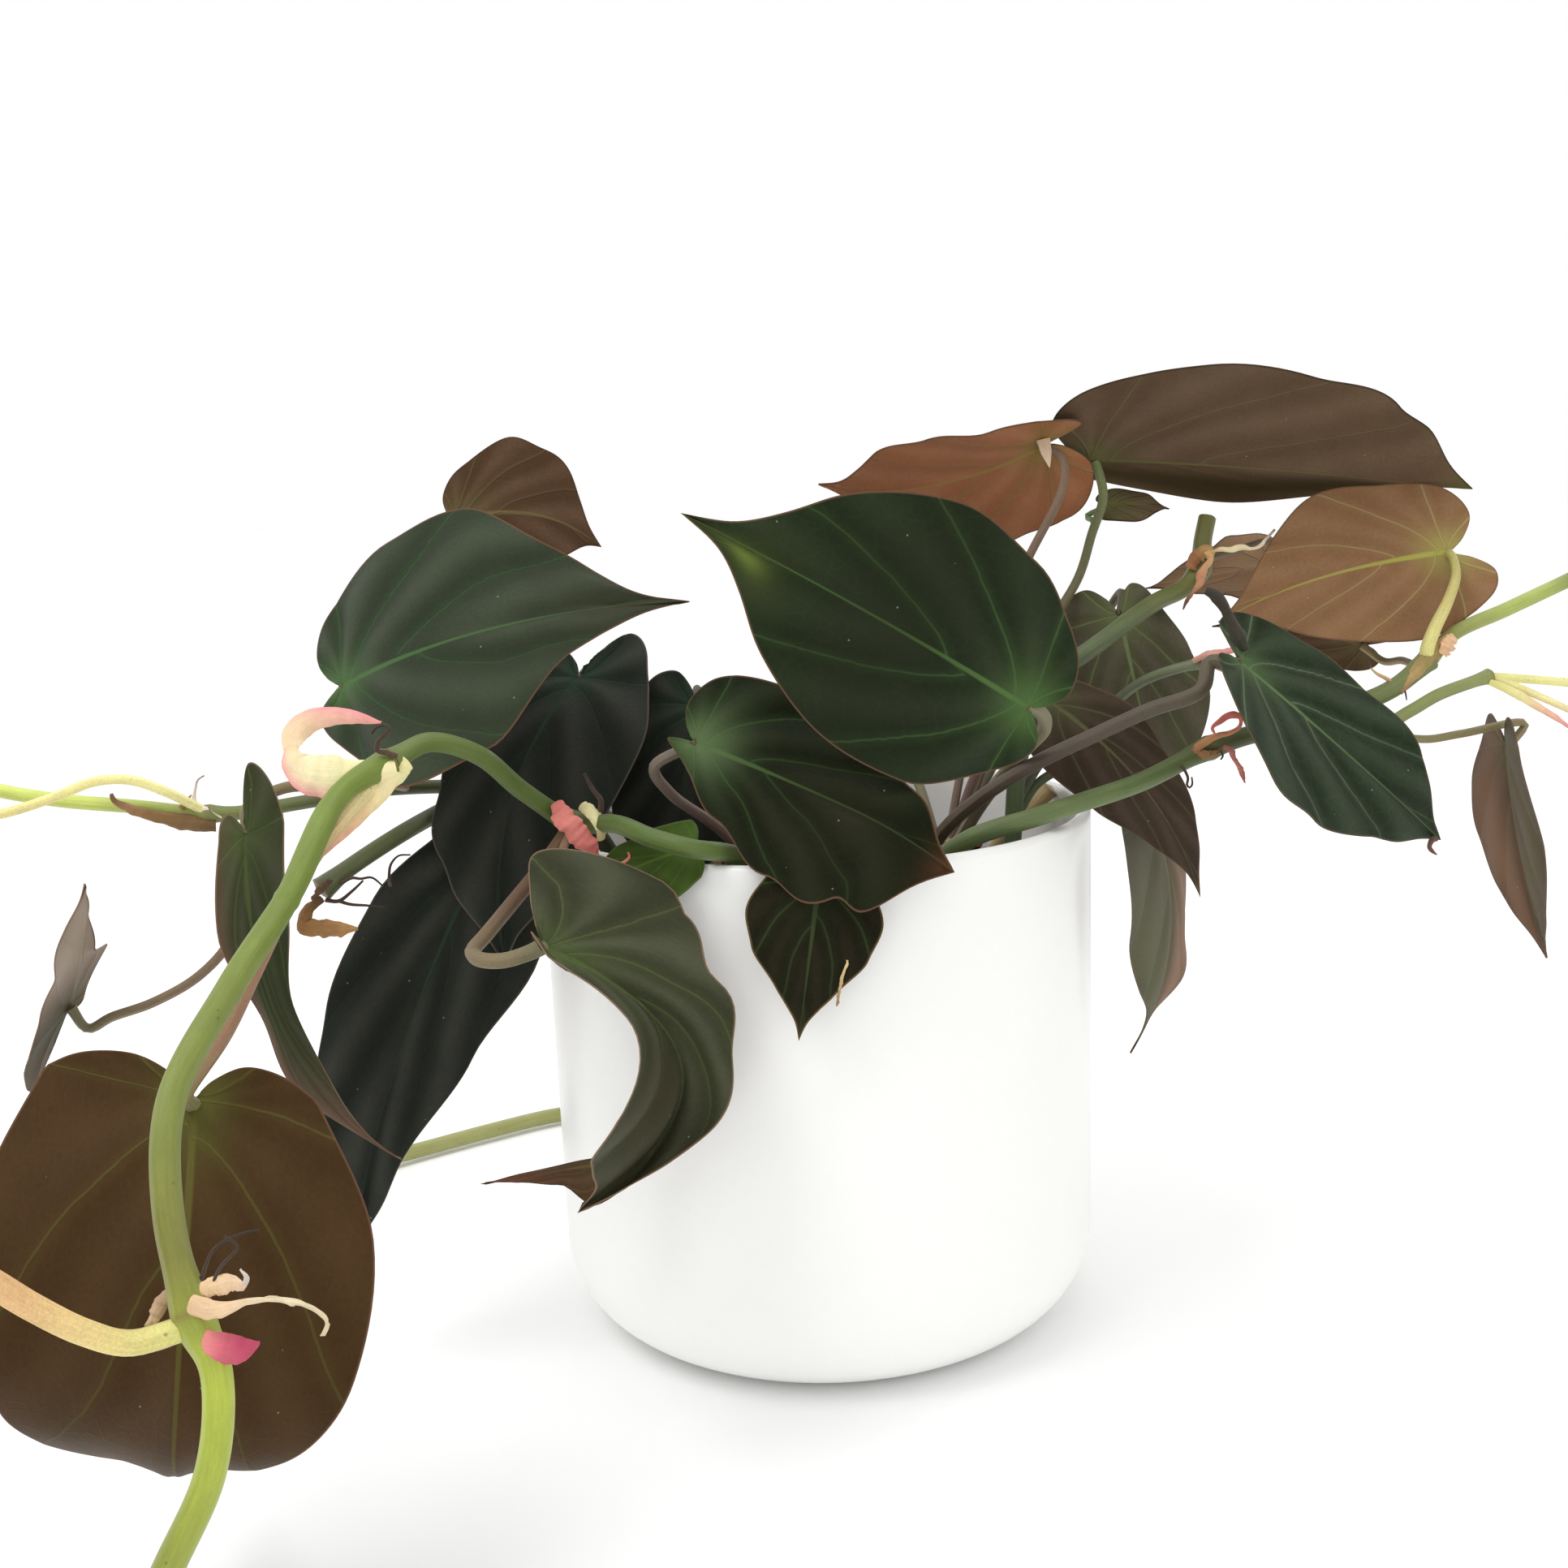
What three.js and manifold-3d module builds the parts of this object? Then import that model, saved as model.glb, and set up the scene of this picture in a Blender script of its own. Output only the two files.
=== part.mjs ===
// Potted velvet leaf philodendron: a white pot of potting mix with trailing vines and heart-shaped leaves.
// Millimetres, +Z up. The origin is the centre of the pot's foot, and the front of the plant looks to -Y.
import * as THREE from 'three';
import { mergeVertices } from 'three/addons/utils/BufferGeometryUtils.js';
import Module from 'manifold-3d';

const wasm = await Module();
wasm.setup();

// Pot and potting mix
const potRadius = 64;
const potHeight = 120;
const potWall = 3;
const potFloor = 5;
const potCorner = 20;
const potTaper = 0.8;
const potSides = 40;
const cornerSteps = 4;
const rimRound = 1;
const mixTop = 99;
const mixLump = 1.6;
const mixWaves = [9, 11, 5];
const mixRings = [0.98, 0.76, 0.5, 0.25];
const mixShoulder = 6;
const mixGap = 0.3;
const rootDepth = 18;

// Stems, stalks and leaves
const stemSides = 6;
const stalkSides = 5;
const stepLength = 9;
const footRise = 6;
const holeSides = 8;
const holeClearance = 0.45;
const leafThickness = 0.8;
const veinLean = 2.3;
const notchDepth = 0.14;
const lobeFall = 1.5;
const twistStart = 0.3;
const curlStart = 0.6;
const edgeWaves = 17;
const edgeWaveShift = 1.5;
const stalkGap = 0.45;
const stalkEndDrop = 0.75;
const stalkEndRun = 3.5;
const ribbonHalfThickness = 0.45;
const ribbonSteps = 7;
const ribbonCorners = 4;
const group = new THREE.Group();

const finish = {
  pot: { color: 0xf4f4f2, roughness: 0.28, metalness: 0 },
  mix: { color: 0x4a3426, roughness: 0.95, metalness: 0 },
  stem: { color: 0x6f9a44, roughness: 0.5, metalness: 0 },
  paleStem: { color: 0xc2d45a, roughness: 0.5, metalness: 0 },
  stalk: { color: 0x8a7355, roughness: 0.55, metalness: 0 },
  leaf: { color: 0x2b3a2a, roughness: 0.7, metalness: 0 },
  underside: { color: 0x6b4a38, roughness: 0.65, metalness: 0 },
  bract: { color: 0xd8a29a, roughness: 0.6, metalness: 0 },
  dry: { color: 0x9a7a52, roughness: 0.85, metalness: 0 },
};

function at(point) {
  return new THREE.Vector3(point[0], point[1], point[2]);
}

function addMesh(name, geometry, look) {
  const mesh = new THREE.Mesh(geometry, new THREE.MeshStandardMaterial(look));
  mesh.name = name;
  group.add(mesh);
}

// A closed geometry as a solid that can be joined and cut
function solidOf(geometry) {
  const bare = geometry.clone();
  bare.deleteAttribute('normal');
  bare.deleteAttribute('uv');
  const merged = mergeVertices(bare, 1e-4);
  const vertProperties = new Float32Array(merged.attributes.position.array);
  const triVerts = new Uint32Array(merged.index.array);
  return new wasm.Manifold(new wasm.Mesh({ numProp: 3, vertProperties, triVerts }));
}

function geometryOf(solid) {
  const mesh = solid.getMesh();
  const geometry = new THREE.BufferGeometry();
  geometry.setAttribute('position', new THREE.BufferAttribute(mesh.vertProperties, 3));
  geometry.setIndex(new THREE.BufferAttribute(mesh.triVerts, 1));
  geometry.computeVertexNormals();
  return geometry;
}

function join(solids) {
  return solids.reduce((whole, solid) => whole.add(solid));
}

// Pot: one turned shape with a rounded bottom edge, a slight taper and a rounded rim
function makePot() {
  const profile = [new THREE.Vector2(0, 0)];
  const footRadius = potRadius - potTaper - potCorner;
  for (let step = 0; step <= cornerSteps; step += 1) {
    const turn = (step / cornerSteps) * (Math.PI / 2);
    const radius = footRadius + potCorner * Math.sin(turn);
    profile.push(new THREE.Vector2(radius, potCorner * (1 - Math.cos(turn))));
  }
  profile.push(new THREE.Vector2(potRadius, potHeight - rimRound));
  profile.push(new THREE.Vector2(potRadius - rimRound, potHeight));
  profile.push(new THREE.Vector2(potRadius - potWall + rimRound, potHeight));
  profile.push(new THREE.Vector2(potRadius - potWall, potHeight - rimRound));
  const innerCorner = potCorner - potWall;
  for (let step = cornerSteps; step >= 0; step -= 1) {
    const turn = (step / cornerSteps) * (Math.PI / 2);
    const radius = footRadius + innerCorner * Math.sin(turn);
    profile.push(new THREE.Vector2(radius, potFloor + innerCorner * (1 - Math.cos(turn))));
  }
  profile.push(new THREE.Vector2(0, potFloor));
  const geometry = new THREE.LatheGeometry(profile, potSides);
  geometry.rotateX(Math.PI / 2);
  return geometry;
}

// Height of the potting mix: two slow waves over the disc
function mixHeight(x, y) {
  const [wide, deep, slant] = mixWaves;
  const wave = Math.sin(x / wide + 1.3) * Math.cos(y / deep) + 0.5 * Math.sin((x + y) / slant);
  return mixTop + mixLump * wave;
}

// Potting mix: a turned plug that follows the pot's inside, with a lumpy top and plain holes for the stems
function makeMix(stems) {
  const innerRadius = potRadius - potWall - mixGap;
  const innerCorner = potCorner - potWall;
  const footRadius = potRadius - potTaper - potCorner - mixGap;
  const profile = [new THREE.Vector2(0, potFloor + mixGap)];
  for (let step = 0; step <= cornerSteps; step += 1) {
    const turn = (step / cornerSteps) * (Math.PI / 2);
    const height = potFloor + mixGap + innerCorner * (1 - Math.cos(turn));
    profile.push(new THREE.Vector2(footRadius + innerCorner * Math.sin(turn), height));
  }
  profile.push(new THREE.Vector2(innerRadius, mixTop - mixShoulder));
  for (const share of mixRings) {
    profile.push(new THREE.Vector2(innerRadius * share, mixTop));
  }
  profile.push(new THREE.Vector2(0, mixTop));
  const geometry = new THREE.LatheGeometry(profile, potSides);
  geometry.rotateX(Math.PI / 2);
  const places = geometry.attributes.position;
  for (let index = 0; index < places.count; index += 1) {
    if (places.getZ(index) > mixTop - 1) {
      places.setZ(index, mixHeight(places.getX(index), places.getY(index)));
    }
  }
  let mix = solidOf(geometry);
  for (const stem of stems) {
    const radius = (stem.radius + holeClearance) / Math.cos(Math.PI / holeSides);
    const depth = rootDepth + footRise;
    const hole = new THREE.CylinderGeometry(radius, radius, depth, holeSides);
    hole.rotateX(Math.PI / 2);
    hole.translate(stem.foot[0], stem.foot[1], mixTop - rootDepth + depth / 2);
    mix = mix.subtract(solidOf(hole));
  }
  return geometryOf(mix);
}

// A round stem or stalk along a smooth curve through the points
function tube(points, radius, sides = stemSides) {
  const curve = new THREE.CatmullRomCurve3(points.map(at), false, 'centripetal');
  const section = new THREE.Shape();
  for (let side = 0; side < sides; side += 1) {
    const turn = (side / sides) * 2 * Math.PI;
    const x = radius * Math.cos(turn);
    const y = radius * Math.sin(turn);
    if (side === 0) {
      section.moveTo(x, y);
    } else {
      section.lineTo(x, y);
    }
  }
  section.closePath();
  const steps = Math.max(points.length === 2 ? 1 : 3, Math.round(curve.getLength() / stepLength));
  const options = { steps, bevelEnabled: false, extrudePath: curve };
  return solidOf(new THREE.ExtrudeGeometry(section, options));
}

// A swollen joint where leaves and roots grow from a stem
function knuckle(center, radius) {
  const ball = new THREE.SphereGeometry(radius, 6, 5);
  ball.translate(center[0], center[1], center[2]);
  return solidOf(ball);
}

// A leaf's stalk has fewer sides than a stem
function stalk(points, radius) {
  return tube(points, radius, stalkSides);
}

// A stem with its straight foot in its hole and its run from a little above the mix
function rooted(stem, points) {
  const [x, y] = stem.foot;
  const foot = tube([[x, y, mixTop - rootDepth + 1], [x, y, mixTop + footRise]], stem.radius);
  return foot.add(tube([[x, y, mixTop + footRise - 1], ...points], stem.radius));
}

// Half outline of a leaf as shares of its half width and length, from the notch to the tip
const halfOutline = [
  [0, 0],
  [0.12, -0.08],
  [0.36, -0.14],
  [0.66, -0.09],
  [0.88, 0.06],
  [0.99, 0.22],
  [0.98, 0.38],
  [0.87, 0.53],
  [0.66, 0.67],
  [0.36, 0.79],
  [0.13, 0.89],
  [0, 1],
];
const outlineCurve = new THREE.SplineCurve(halfOutline.map((pair) => new THREE.Vector2(...pair)));
outlineCurve.arcLengthDivisions = 400;

// Places along a leaf, as shares of its length, where its half widths are given
const widthStations = [-0.1, 0.2, 0.45, 0.7, 0.9];

// Half width at a place along the leaf, eased from station to station
function halfWidth(widths, along) {
  const last = widthStations.length - 1;
  const place = THREE.MathUtils.clamp(along, widthStations[0], widthStations[last]);
  let index = 0;
  while (index < last - 1 && place > widthStations[index + 1]) {
    index += 1;
  }
  const share = THREE.MathUtils.smoothstep(place, widthStations[index], widthStations[index + 1]);
  return THREE.MathUtils.lerp(widths[index], widths[index + 1], share);
}

// Bow of the midrib along the leaf: nil at both ends, one in the middle, and falling behind the notch
function bow(along) {
  return along >= 0 ? 4 * along * (1 - along) : lobeFall * along;
}

function leafFrame(leaf) {
  const base = at(leaf.base);
  const axis = at(leaf.tip).sub(base);
  const length = axis.length();
  axis.normalize();
  const face = at(leaf.face);
  face.addScaledVector(axis, -face.dot(axis)).normalize();
  const side = new THREE.Vector3().crossVectors(axis, face);
  return { base, axis, face, side, length };
}

// A point of the upper skin: row from notch to tip, column from -1 at the left edge to 1 at the right
function leafPoint(leaf, frame, row, column) {
  const edge = outlineCurve.getPointAt(row);
  const lobe = leaf.lobe - Math.sign(column) * leaf.lobeTilt;
  const edgeAlong = edge.y < 0 ? (edge.y * lobe) / notchDepth : edge.y;
  const out = Math.abs(column);
  const along = THREE.MathUtils.lerp(row ** veinLean, edgeAlong, out);
  const half = halfWidth(column < 0 ? leaf.left : leaf.right, along);
  const fold = THREE.MathUtils.degToRad(column < 0 ? leaf.fold[0] : leaf.fold[1]);
  const across = column * edge.x * half;
  const twist = THREE.MathUtils.degToRad(leaf.twist) * (along - twistStart);
  const side = frame.side.clone().applyAxisAngle(frame.axis, -twist);
  const face = frame.face.clone().applyAxisAngle(frame.axis, -twist);
  const shift = column < 0 ? edgeWaveShift : 0;
  const wave = leaf.wave * out ** 3 * edge.x * Math.sin(row * edgeWaves + shift);
  const curl = leaf.curl * Math.max(0, (along - curlStart) / (1 - curlStart)) ** 2;
  const point = frame.base.clone();
  point.addScaledVector(frame.axis, frame.length * along);
  point.addScaledVector(frame.face, leaf.arch * bow(along) - curl);
  point.addScaledVector(frame.side, leaf.sweep * bow(along));
  point.addScaledVector(side, across * Math.cos(fold));
  point.addScaledVector(face, Math.abs(across) * Math.sin(fold) - leaf.cup * out ** 2 * edge.x + wave);
  return point;
}

// Values that a leaf has where it names none of its own, and the coarser grid of a small one
const leafDefaults = {
  arch: 3, sweep: 0, fold: [4, 4], twist: 0, lobe: 0.13, lobeTilt: 0, cup: 2, wave: 0.6, curl: 0,
  rows: 10, columns: 3,
};
const small = { rows: 7, columns: 2 };

// Leaf blade: an upper and a lower skin over the same grid, closed along the edge
function makeLeaf(values) {
  const leaf = { ...leafDefaults, ...values };
  const frame = leafFrame(leaf);
  const { rows, columns } = leaf;
  const width = 2 * columns + 1;
  const upper = [leafPoint(leaf, frame, 0, 0)];
  for (let row = 1; row < rows; row += 1) {
    for (let column = -columns; column <= columns; column += 1) {
      upper.push(leafPoint(leaf, frame, row / rows, column / columns));
    }
  }
  upper.push(leafPoint(leaf, frame, 1, 0));
  const tipIndex = upper.length - 1;
  const skin = [];
  for (let column = 0; column < width - 1; column += 1) {
    skin.push([0, 1 + column, 2 + column]);
    const last = 1 + (rows - 2) * width + column;
    skin.push([tipIndex, last + 1, last]);
  }
  for (let row = 0; row < rows - 2; row += 1) {
    for (let column = 0; column < width - 1; column += 1) {
      const near = 1 + row * width + column;
      const far = near + width;
      if (column < columns) {
        skin.push([near, far, near + 1], [near + 1, far, far + 1]);
      } else {
        skin.push([near, far, far + 1], [near, far + 1, near + 1]);
      }
    }
  }
  return closedBlade(upper, skin, frame.face);
}

// Both skins of a blade and the strip that closes its edge
function closedBlade(upper, skin, face) {
  const sheet = new THREE.BufferGeometry().setFromPoints(upper);
  sheet.setIndex(skin.flat());
  sheet.computeVertexNormals();
  const normals = sheet.attributes.normal;
  const total = new THREE.Vector3();
  for (let index = 0; index < normals.count; index += 1) {
    total.add(new THREE.Vector3().fromBufferAttribute(normals, index));
  }
  const faces = total.dot(face) > 0 ? skin : skin.map(([a, b, c]) => [a, c, b]);
  const sign = total.dot(face) > 0 ? 1 : -1;
  const count = upper.length;
  const points = upper.map((point) => point.clone());
  for (let index = 0; index < count; index += 1) {
    const normal = new THREE.Vector3().fromBufferAttribute(normals, index).multiplyScalar(sign);
    points.push(upper[index].clone().addScaledVector(normal, -leafThickness));
  }
  const edges = new Map();
  for (const [a, b, c] of faces) {
    for (const [from, to] of [[a, b], [b, c], [c, a]]) {
      edges.set(`${from}_${to}`, [from, to]);
    }
  }
  const triangles = [...faces];
  for (const [a, b, c] of faces) {
    triangles.push([a + count, c + count, b + count]);
  }
  for (const [from, to] of edges.values()) {
    if (!edges.has(`${to}_${from}`)) {
      triangles.push([from, from + count, to], [to, from + count, to + count]);
    }
  }
  const blade = new THREE.BufferGeometry().setFromPoints(points);
  blade.setIndex(triangles.flat());
  blade.computeVertexNormals();
  return blade;
}

// The last points of a stalk, which comes to a leaf from behind and below its notch
function toLeaf(leaf, radius) {
  const frame = leafFrame(leaf);
  const drop = leafThickness + stalkGap + radius * stalkEndDrop;
  const end = frame.base.clone().addScaledVector(frame.face, -drop);
  const before = end.clone()
    .addScaledVector(frame.face, -stalkEndRun)
    .addScaledVector(frame.axis, -stalkEndRun);
  return [before.toArray(), end.toArray()];
}

// Leaves. base is where the stalk meets the blade, tip is its point, face is where its upper side looks,
// and left and right hold the half widths at the stations, seen with the tip away and the face up.
const leaves = {
  leaf_centre: {
    base: [42.2, -59.5, 149.7], tip: [-24.8, -67.5, 191], face: [0.06, -0.99, -0.1],
    left: [17, 26, 27, 26, 20], right: [20, 25, 28, 28, 22], arch: 11, sweep: 2, fold: [0, 3],
    lobe: 0.08, curl: -1,
  },
  leaf_upper_left: {
    base: [-100, -35, 156.5], tip: [-25.2, -43, 172.7], face: [-0.22, -0.84, 0.49],
    left: [25, 29.3, 32.8, 25, 18.5], right: [15, 29, 27, 14, 15], arch: 12, sweep: 2, fold: [0, 2],
    lobe: 0.08, curl: 1,
  },
  leaf_back_left: {
    base: [-82, 12, 189], tip: [-47, 4, 182], face: [0.16, 0.94, -0.3],
    left: [17, 18, 17, 17, 18], right: [17, 19, 17, 19, 18], arch: 1, sweep: 5, lobe: 0.11,
  },
  leaf_hang_left: {
    base: [-51.7, -16, 154.5], tip: [-67.5, -46, 96.5], face: [-0.18, -0.95, 0.35],
    left: [19, 23.5, 23, 27, 34], right: [18, 18, 18, 23, 38], arch: 6, sweep: 6, fold: [3, 6],
    lobe: 0.14, lobeTilt: 0.05,
  },
  leaf_dark_inner: {
    base: [-26, -14, 147], tip: [-35, -20, 103.5], face: [0.1, -0.98, 0.1],
    left: [16, 17, 17, 20, 26], right: [16, 17, 17, 20, 26], arch: 2, lobe: 0.15, wave: 1,
  },
  leaf_over_rim: {
    base: [-25, -50, 144], tip: [25, -75, 123.5], face: [-0.09, -0.79, 0.61],
    left: [21.5, 19.4, 17, 18.5, 36], right: [3.5, 13.4, 20.6, 30.5, 76], arch: -1, sweep: -1, fold: [8, -4],
    twist: 4, lobe: 0.1, curl: 7,
  },
  leaf_bent_front: {
    base: [-54.6, -79, 109.8], tip: [-51.6, -75, 53.3], face: [0.75, -0.66, -0.01],
    left: [44, 18.5, 12.5, 16, 24], right: [8, 13.2, 26, 34, 42], arch: 18, sweep: -16, fold: [50, 36],
    twist: -97, lobe: 0.17, lobeTilt: 0.1, cup: 1,
  },
  leaf_pleated: {
    base: [-70, -32.5, 123], tip: [-109, -33, 24], face: [-0.1, -0.99, 0.04],
    left: [13, 21, 16, 12, 20], right: [9, 18, 20, 22, 24], arch: 8, sweep: 3, lobe: 0.11, wave: 1,
  },
  leaf_front_low: {
    base: [-109, -122, 97], tip: [-123, -113, 20], face: [0, 0.99, 0.12],
    left: [33, 37, 34, 42, 50], right: [24, 31, 30, 29, 32], arch: -30, sweep: 8, fold: [13, 19],
    twist: 3,
    lobe: 0.06, cup: 3, curl: -14,
  },
  leaf_folded_left: {
    base: [-116, -58, 130], tip: [-93, -46, 54], face: [-0.03, -0.99, -0.16],
    left: [11, 8.5, 4, 6, 5], right: [7.5, 7.5, 4, 8.5, 7], arch: 9, sweep: 7, fold: [11, 13], twist: -33,
    lobe: 0.11, lobeTilt: 0.05, curl: 1,
  },
  leaf_far_left: {
    base: [-170, -25, 85], tip: [-157, -40, 117], face: [-0.93, 0.08, 0.3],
    left: [9, 13, 1.5, 1.5, 3], right: [24, 15, 15, 21, 18], arch: 0, sweep: -3, lobe: 0.22,
    lobeTilt: -0.17, wave: 1,
  },
  leaf_below_rim: {
    base: [-0.8, -65.3, 117.2], tip: [-6, -72, 86.5], face: [-0.02, -0.98, 0.18],
    left: [12.6, 14, 12.5, 9.5, 9], right: [12.5, 13.9, 12.5, 9.5, 9], arch: 1, lobe: 0.05, cup: 0,
  },
  leaf_top_right: {
    base: [68, 18, 198], tip: [161, 22, 186.7], face: [0.14, 0.29, 0.95],
    left: [27, 32, 34.5, 24, 10], right: [36, 33, 32.5, 38.5, 62], arch: 0, sweep: 5, fold: [7, 28],
    twist: 9, lobe: 0.12, curl: -1,
  },
  leaf_top_middle: {
    base: [57, 12, 202], tip: [4, 25, 193], face: [0.04, 0.66, 0.75],
    left: [12, 15.5, 22, 27, 28], right: [30, 23, 24, 26, 27], arch: -1, sweep: 5, fold: [-6, -8],
    lobe: 0.17, curl: -2,
  },
  leaf_right_under: {
    base: [151, 10, 173], tip: [95.5, 2, 160.2], face: [-0.03, 0.88, -0.47],
    left: [24, 20, 21, 19, 20], right: [19, 21, 20, 20, 21], arch: 1, sweep: -3, fold: [2, 2], lobe: 0.15,
    curl: -2,
  },
  leaf_right_green: {
    base: [90, -38, 155], tip: [133, -39, 115], face: [0.45, -0.74, 0.51],
    left: [27.5, 21, 18.7, 20, 24], right: [31, 31, 23.5, 20.5, 32], arch: 7, sweep: 7, fold: [3, 15],
    twist: -50, lobe: 0.11,
  },
  leaf_far_right: {
    base: [164, 5, 128], tip: [174, 1, 76], face: [-0.98, -0.01, -0.2],
    left: [17, 18, 20, 22, 29], right: [16, 19, 21, 23, 30], arch: 1, sweep: 1, fold: [13, 11], twist: 7,
  },
  leaf_back_right: {
    base: [119, 44, 169], tip: [86, 40, 165], face: [0, 0.7, -0.71],
    left: [15, 12, 8, 8, 8], right: [13, 12, 8, 8, 8], arch: 0, ...small,
  },
  leaf_grey_heart: {
    base: [75, 17, 161], tip: [87.5, 26, 111], face: [-0.44, -0.89, -0.13],
    left: [12, 15, 18, 18, 18], right: [19, 18, 18, 18, 18], arch: 3, sweep: -1,
  },
  leaf_purple: {
    base: [53.7, -8, 144.3], tip: [88.5, -10, 96.5], face: [-0.17, -0.98, -0.09],
    left: [9, 11, 9, 10, 14], right: [13, 14, 13, 10, 8], arch: 5, sweep: -6, lobe: 0.08, curl: 1,
  },
  leaf_hang_right: {
    base: [82, 10, 112], tip: [75, 4, 55], face: [0.84, -0.54, -0.05],
    left: [18, 18, 20, 26, 3], right: [21, 27, 25, 20, 5], arch: 7, fold: [0, 2], wave: 1.5,
  },
  leaf_bright: {
    base: [-25.4, -57, 124], tip: [-50, -51, 114], face: [-0.34, -0.78, 0.52],
    left: [9, 10, 9.5, 9, 9], right: [7.5, 6.5, 7, 9, 12], arch: 0.5, lobe: 0.04, cup: 0.5, ...small,
  },
  leaf_red_tip: {
    base: [-44, -61, 58.5], tip: [-73, -62, 55], face: [-0.1, -0.85, 0.5],
    left: [7, 8.5, 3, 2.2, 2.2], right: [2, 1.4, 1.2, 1.2, 1.2], arch: 1, cup: 1, ...small,
  },
  leaf_behind_right: {
    base: [136, 22, 151], tip: [98, 20, 157], face: [0, 0.75, 0.6],
    left: [10, 10, 10, 9, 9], right: [10, 10, 10, 9, 9], ...small,
  },
  leaf_small_top: {
    base: [72.5, 22, 187], tip: [88, 21, 185.5], face: [0, -0.8, 0.6],
    left: [5, 5, 5, 5, 5], right: [5, 5, 5, 5, 5], arch: 1, cup: 1, ...small,
  },
  leaf_left_edge: {
    base: [-198, -32, 122], tip: [-197, -40, 66], face: [-0.1, -0.95, 0.2],
    left: [18, 19, 19, 18, 18], right: [18, 19, 19, 18, 18], ...small,
  },
  leaf_left_tip: {
    base: [-203, -14, 140], tip: [-232, -22, 130], face: [-0.2, -0.5, 0.85],
    left: [9, 9, 9, 9, 9], right: [9, 9, 9, 9, 9], cup: 1, ...small,
  },
  leaf_near_left: {
    base: [-128, -194, 106], tip: [-176, -216, 76], face: [-0.4, -0.45, 0.8],
    left: [24, 25, 25, 24, 24], right: [24, 25, 25, 24, 24], arch: 7,
  },
  leaf_right_edge: {
    base: [199, 10, 140], tip: [228, 14, 114], face: [0.4, -0.6, 0.7],
    left: [12, 13, 13, 12, 12], right: [12, 13, 13, 12, 12], ...small,
  },
  leaf_back_low: {
    base: [-24, 98, 104], tip: [-52, 112, 52], face: [-0.3, 0.85, 0.4],
    left: [20, 21, 21, 20, 20], right: [20, 21, 21, 20, 20], arch: 5,
  },
  leaf_back_middle: {
    base: [14, 54, 142], tip: [30, 106, 108], face: [0.1, 0.55, 0.83],
    left: [22, 23, 23, 22, 22], right: [22, 23, 23, 22, 22], arch: 7,
  },
  leaf_back_crown: {
    base: [-38, 46, 138], tip: [-70, 88, 100], face: [-0.25, 0.5, 0.83],
    left: [21, 22, 22, 21, 21], right: [21, 22, 22, 21, 21], arch: 7,
  },
  leaf_floor_end: {
    base: [-138, 79, 9], tip: [-170, 58, 3], face: [-0.1, 0, 1],
    left: [15, 16, 16, 15, 15], right: [15, 16, 16, 15, 15], arch: 3, cup: 1, wave: 0.4,
  },
  leaf_floor_back: {
    base: [-64, 136, 10], tip: [-18, 160, 3], face: [0, 0.1, 1],
    left: [20, 21, 21, 20, 20], right: [20, 21, 21, 20, 20], arch: 4, cup: 1, wave: 0.4,
  },
};

// A thin leaf-like strip along a curve, pointed at both ends: bracts and dry sheaths
function ribbon(points, halfWidths, facing) {
  const steps = ribbonSteps;
  const corners = ribbonCorners;
  const curve = new THREE.CatmullRomCurve3(points.map(at), false, 'centripetal');
  const vertices = [curve.getPoint(0)];
  for (let step = 1; step < steps; step += 1) {
    const share = step / steps;
    const along = curve.getTangent(share);
    const side = new THREE.Vector3().crossVectors(along, at(facing)).normalize();
    const out = new THREE.Vector3().crossVectors(side, along);
    const place = share * (halfWidths.length - 1);
    const index = Math.min(Math.floor(place), halfWidths.length - 2);
    const half = THREE.MathUtils.lerp(halfWidths[index], halfWidths[index + 1], place - index);
    for (let corner = 0; corner < corners; corner += 1) {
      const turn = (corner / corners) * 2 * Math.PI;
      const vertex = curve.getPoint(share);
      vertex.addScaledVector(side, half * Math.cos(turn));
      vertex.addScaledVector(out, ribbonHalfThickness * Math.sin(turn));
      vertices.push(vertex);
    }
  }
  vertices.push(curve.getPoint(1));
  const triangles = [];
  const last = vertices.length - 1;
  for (let corner = 0; corner < corners; corner += 1) {
    const next = (corner + 1) % corners;
    triangles.push([0, 1 + next, 1 + corner]);
    for (let step = 0; step < steps - 2; step += 1) {
      const near = 1 + step * corners;
      const far = near + corners;
      triangles.push([near + corner, near + next, far + corner]);
      triangles.push([near + next, far + next, far + corner]);
    }
    triangles.push([last, last - corners + corner, last - corners + next]);
  }
  const geometry = new THREE.BufferGeometry().setFromPoints(vertices);
  geometry.setIndex(triangles.flat());
  const volume = solidOf(geometry).volume();
  if (volume < 0) {
    geometry.setIndex(triangles.map(([a, b, c]) => [a, c, b]).flat());
  }
  geometry.computeVertexNormals();
  return geometry;
}

// A leaf's stalk: its own points, then the leaf's notch
function leafStalk(name, points, radius) {
  return stalk([...points, ...toLeaf(leaves[name], radius)], radius);
}

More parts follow.
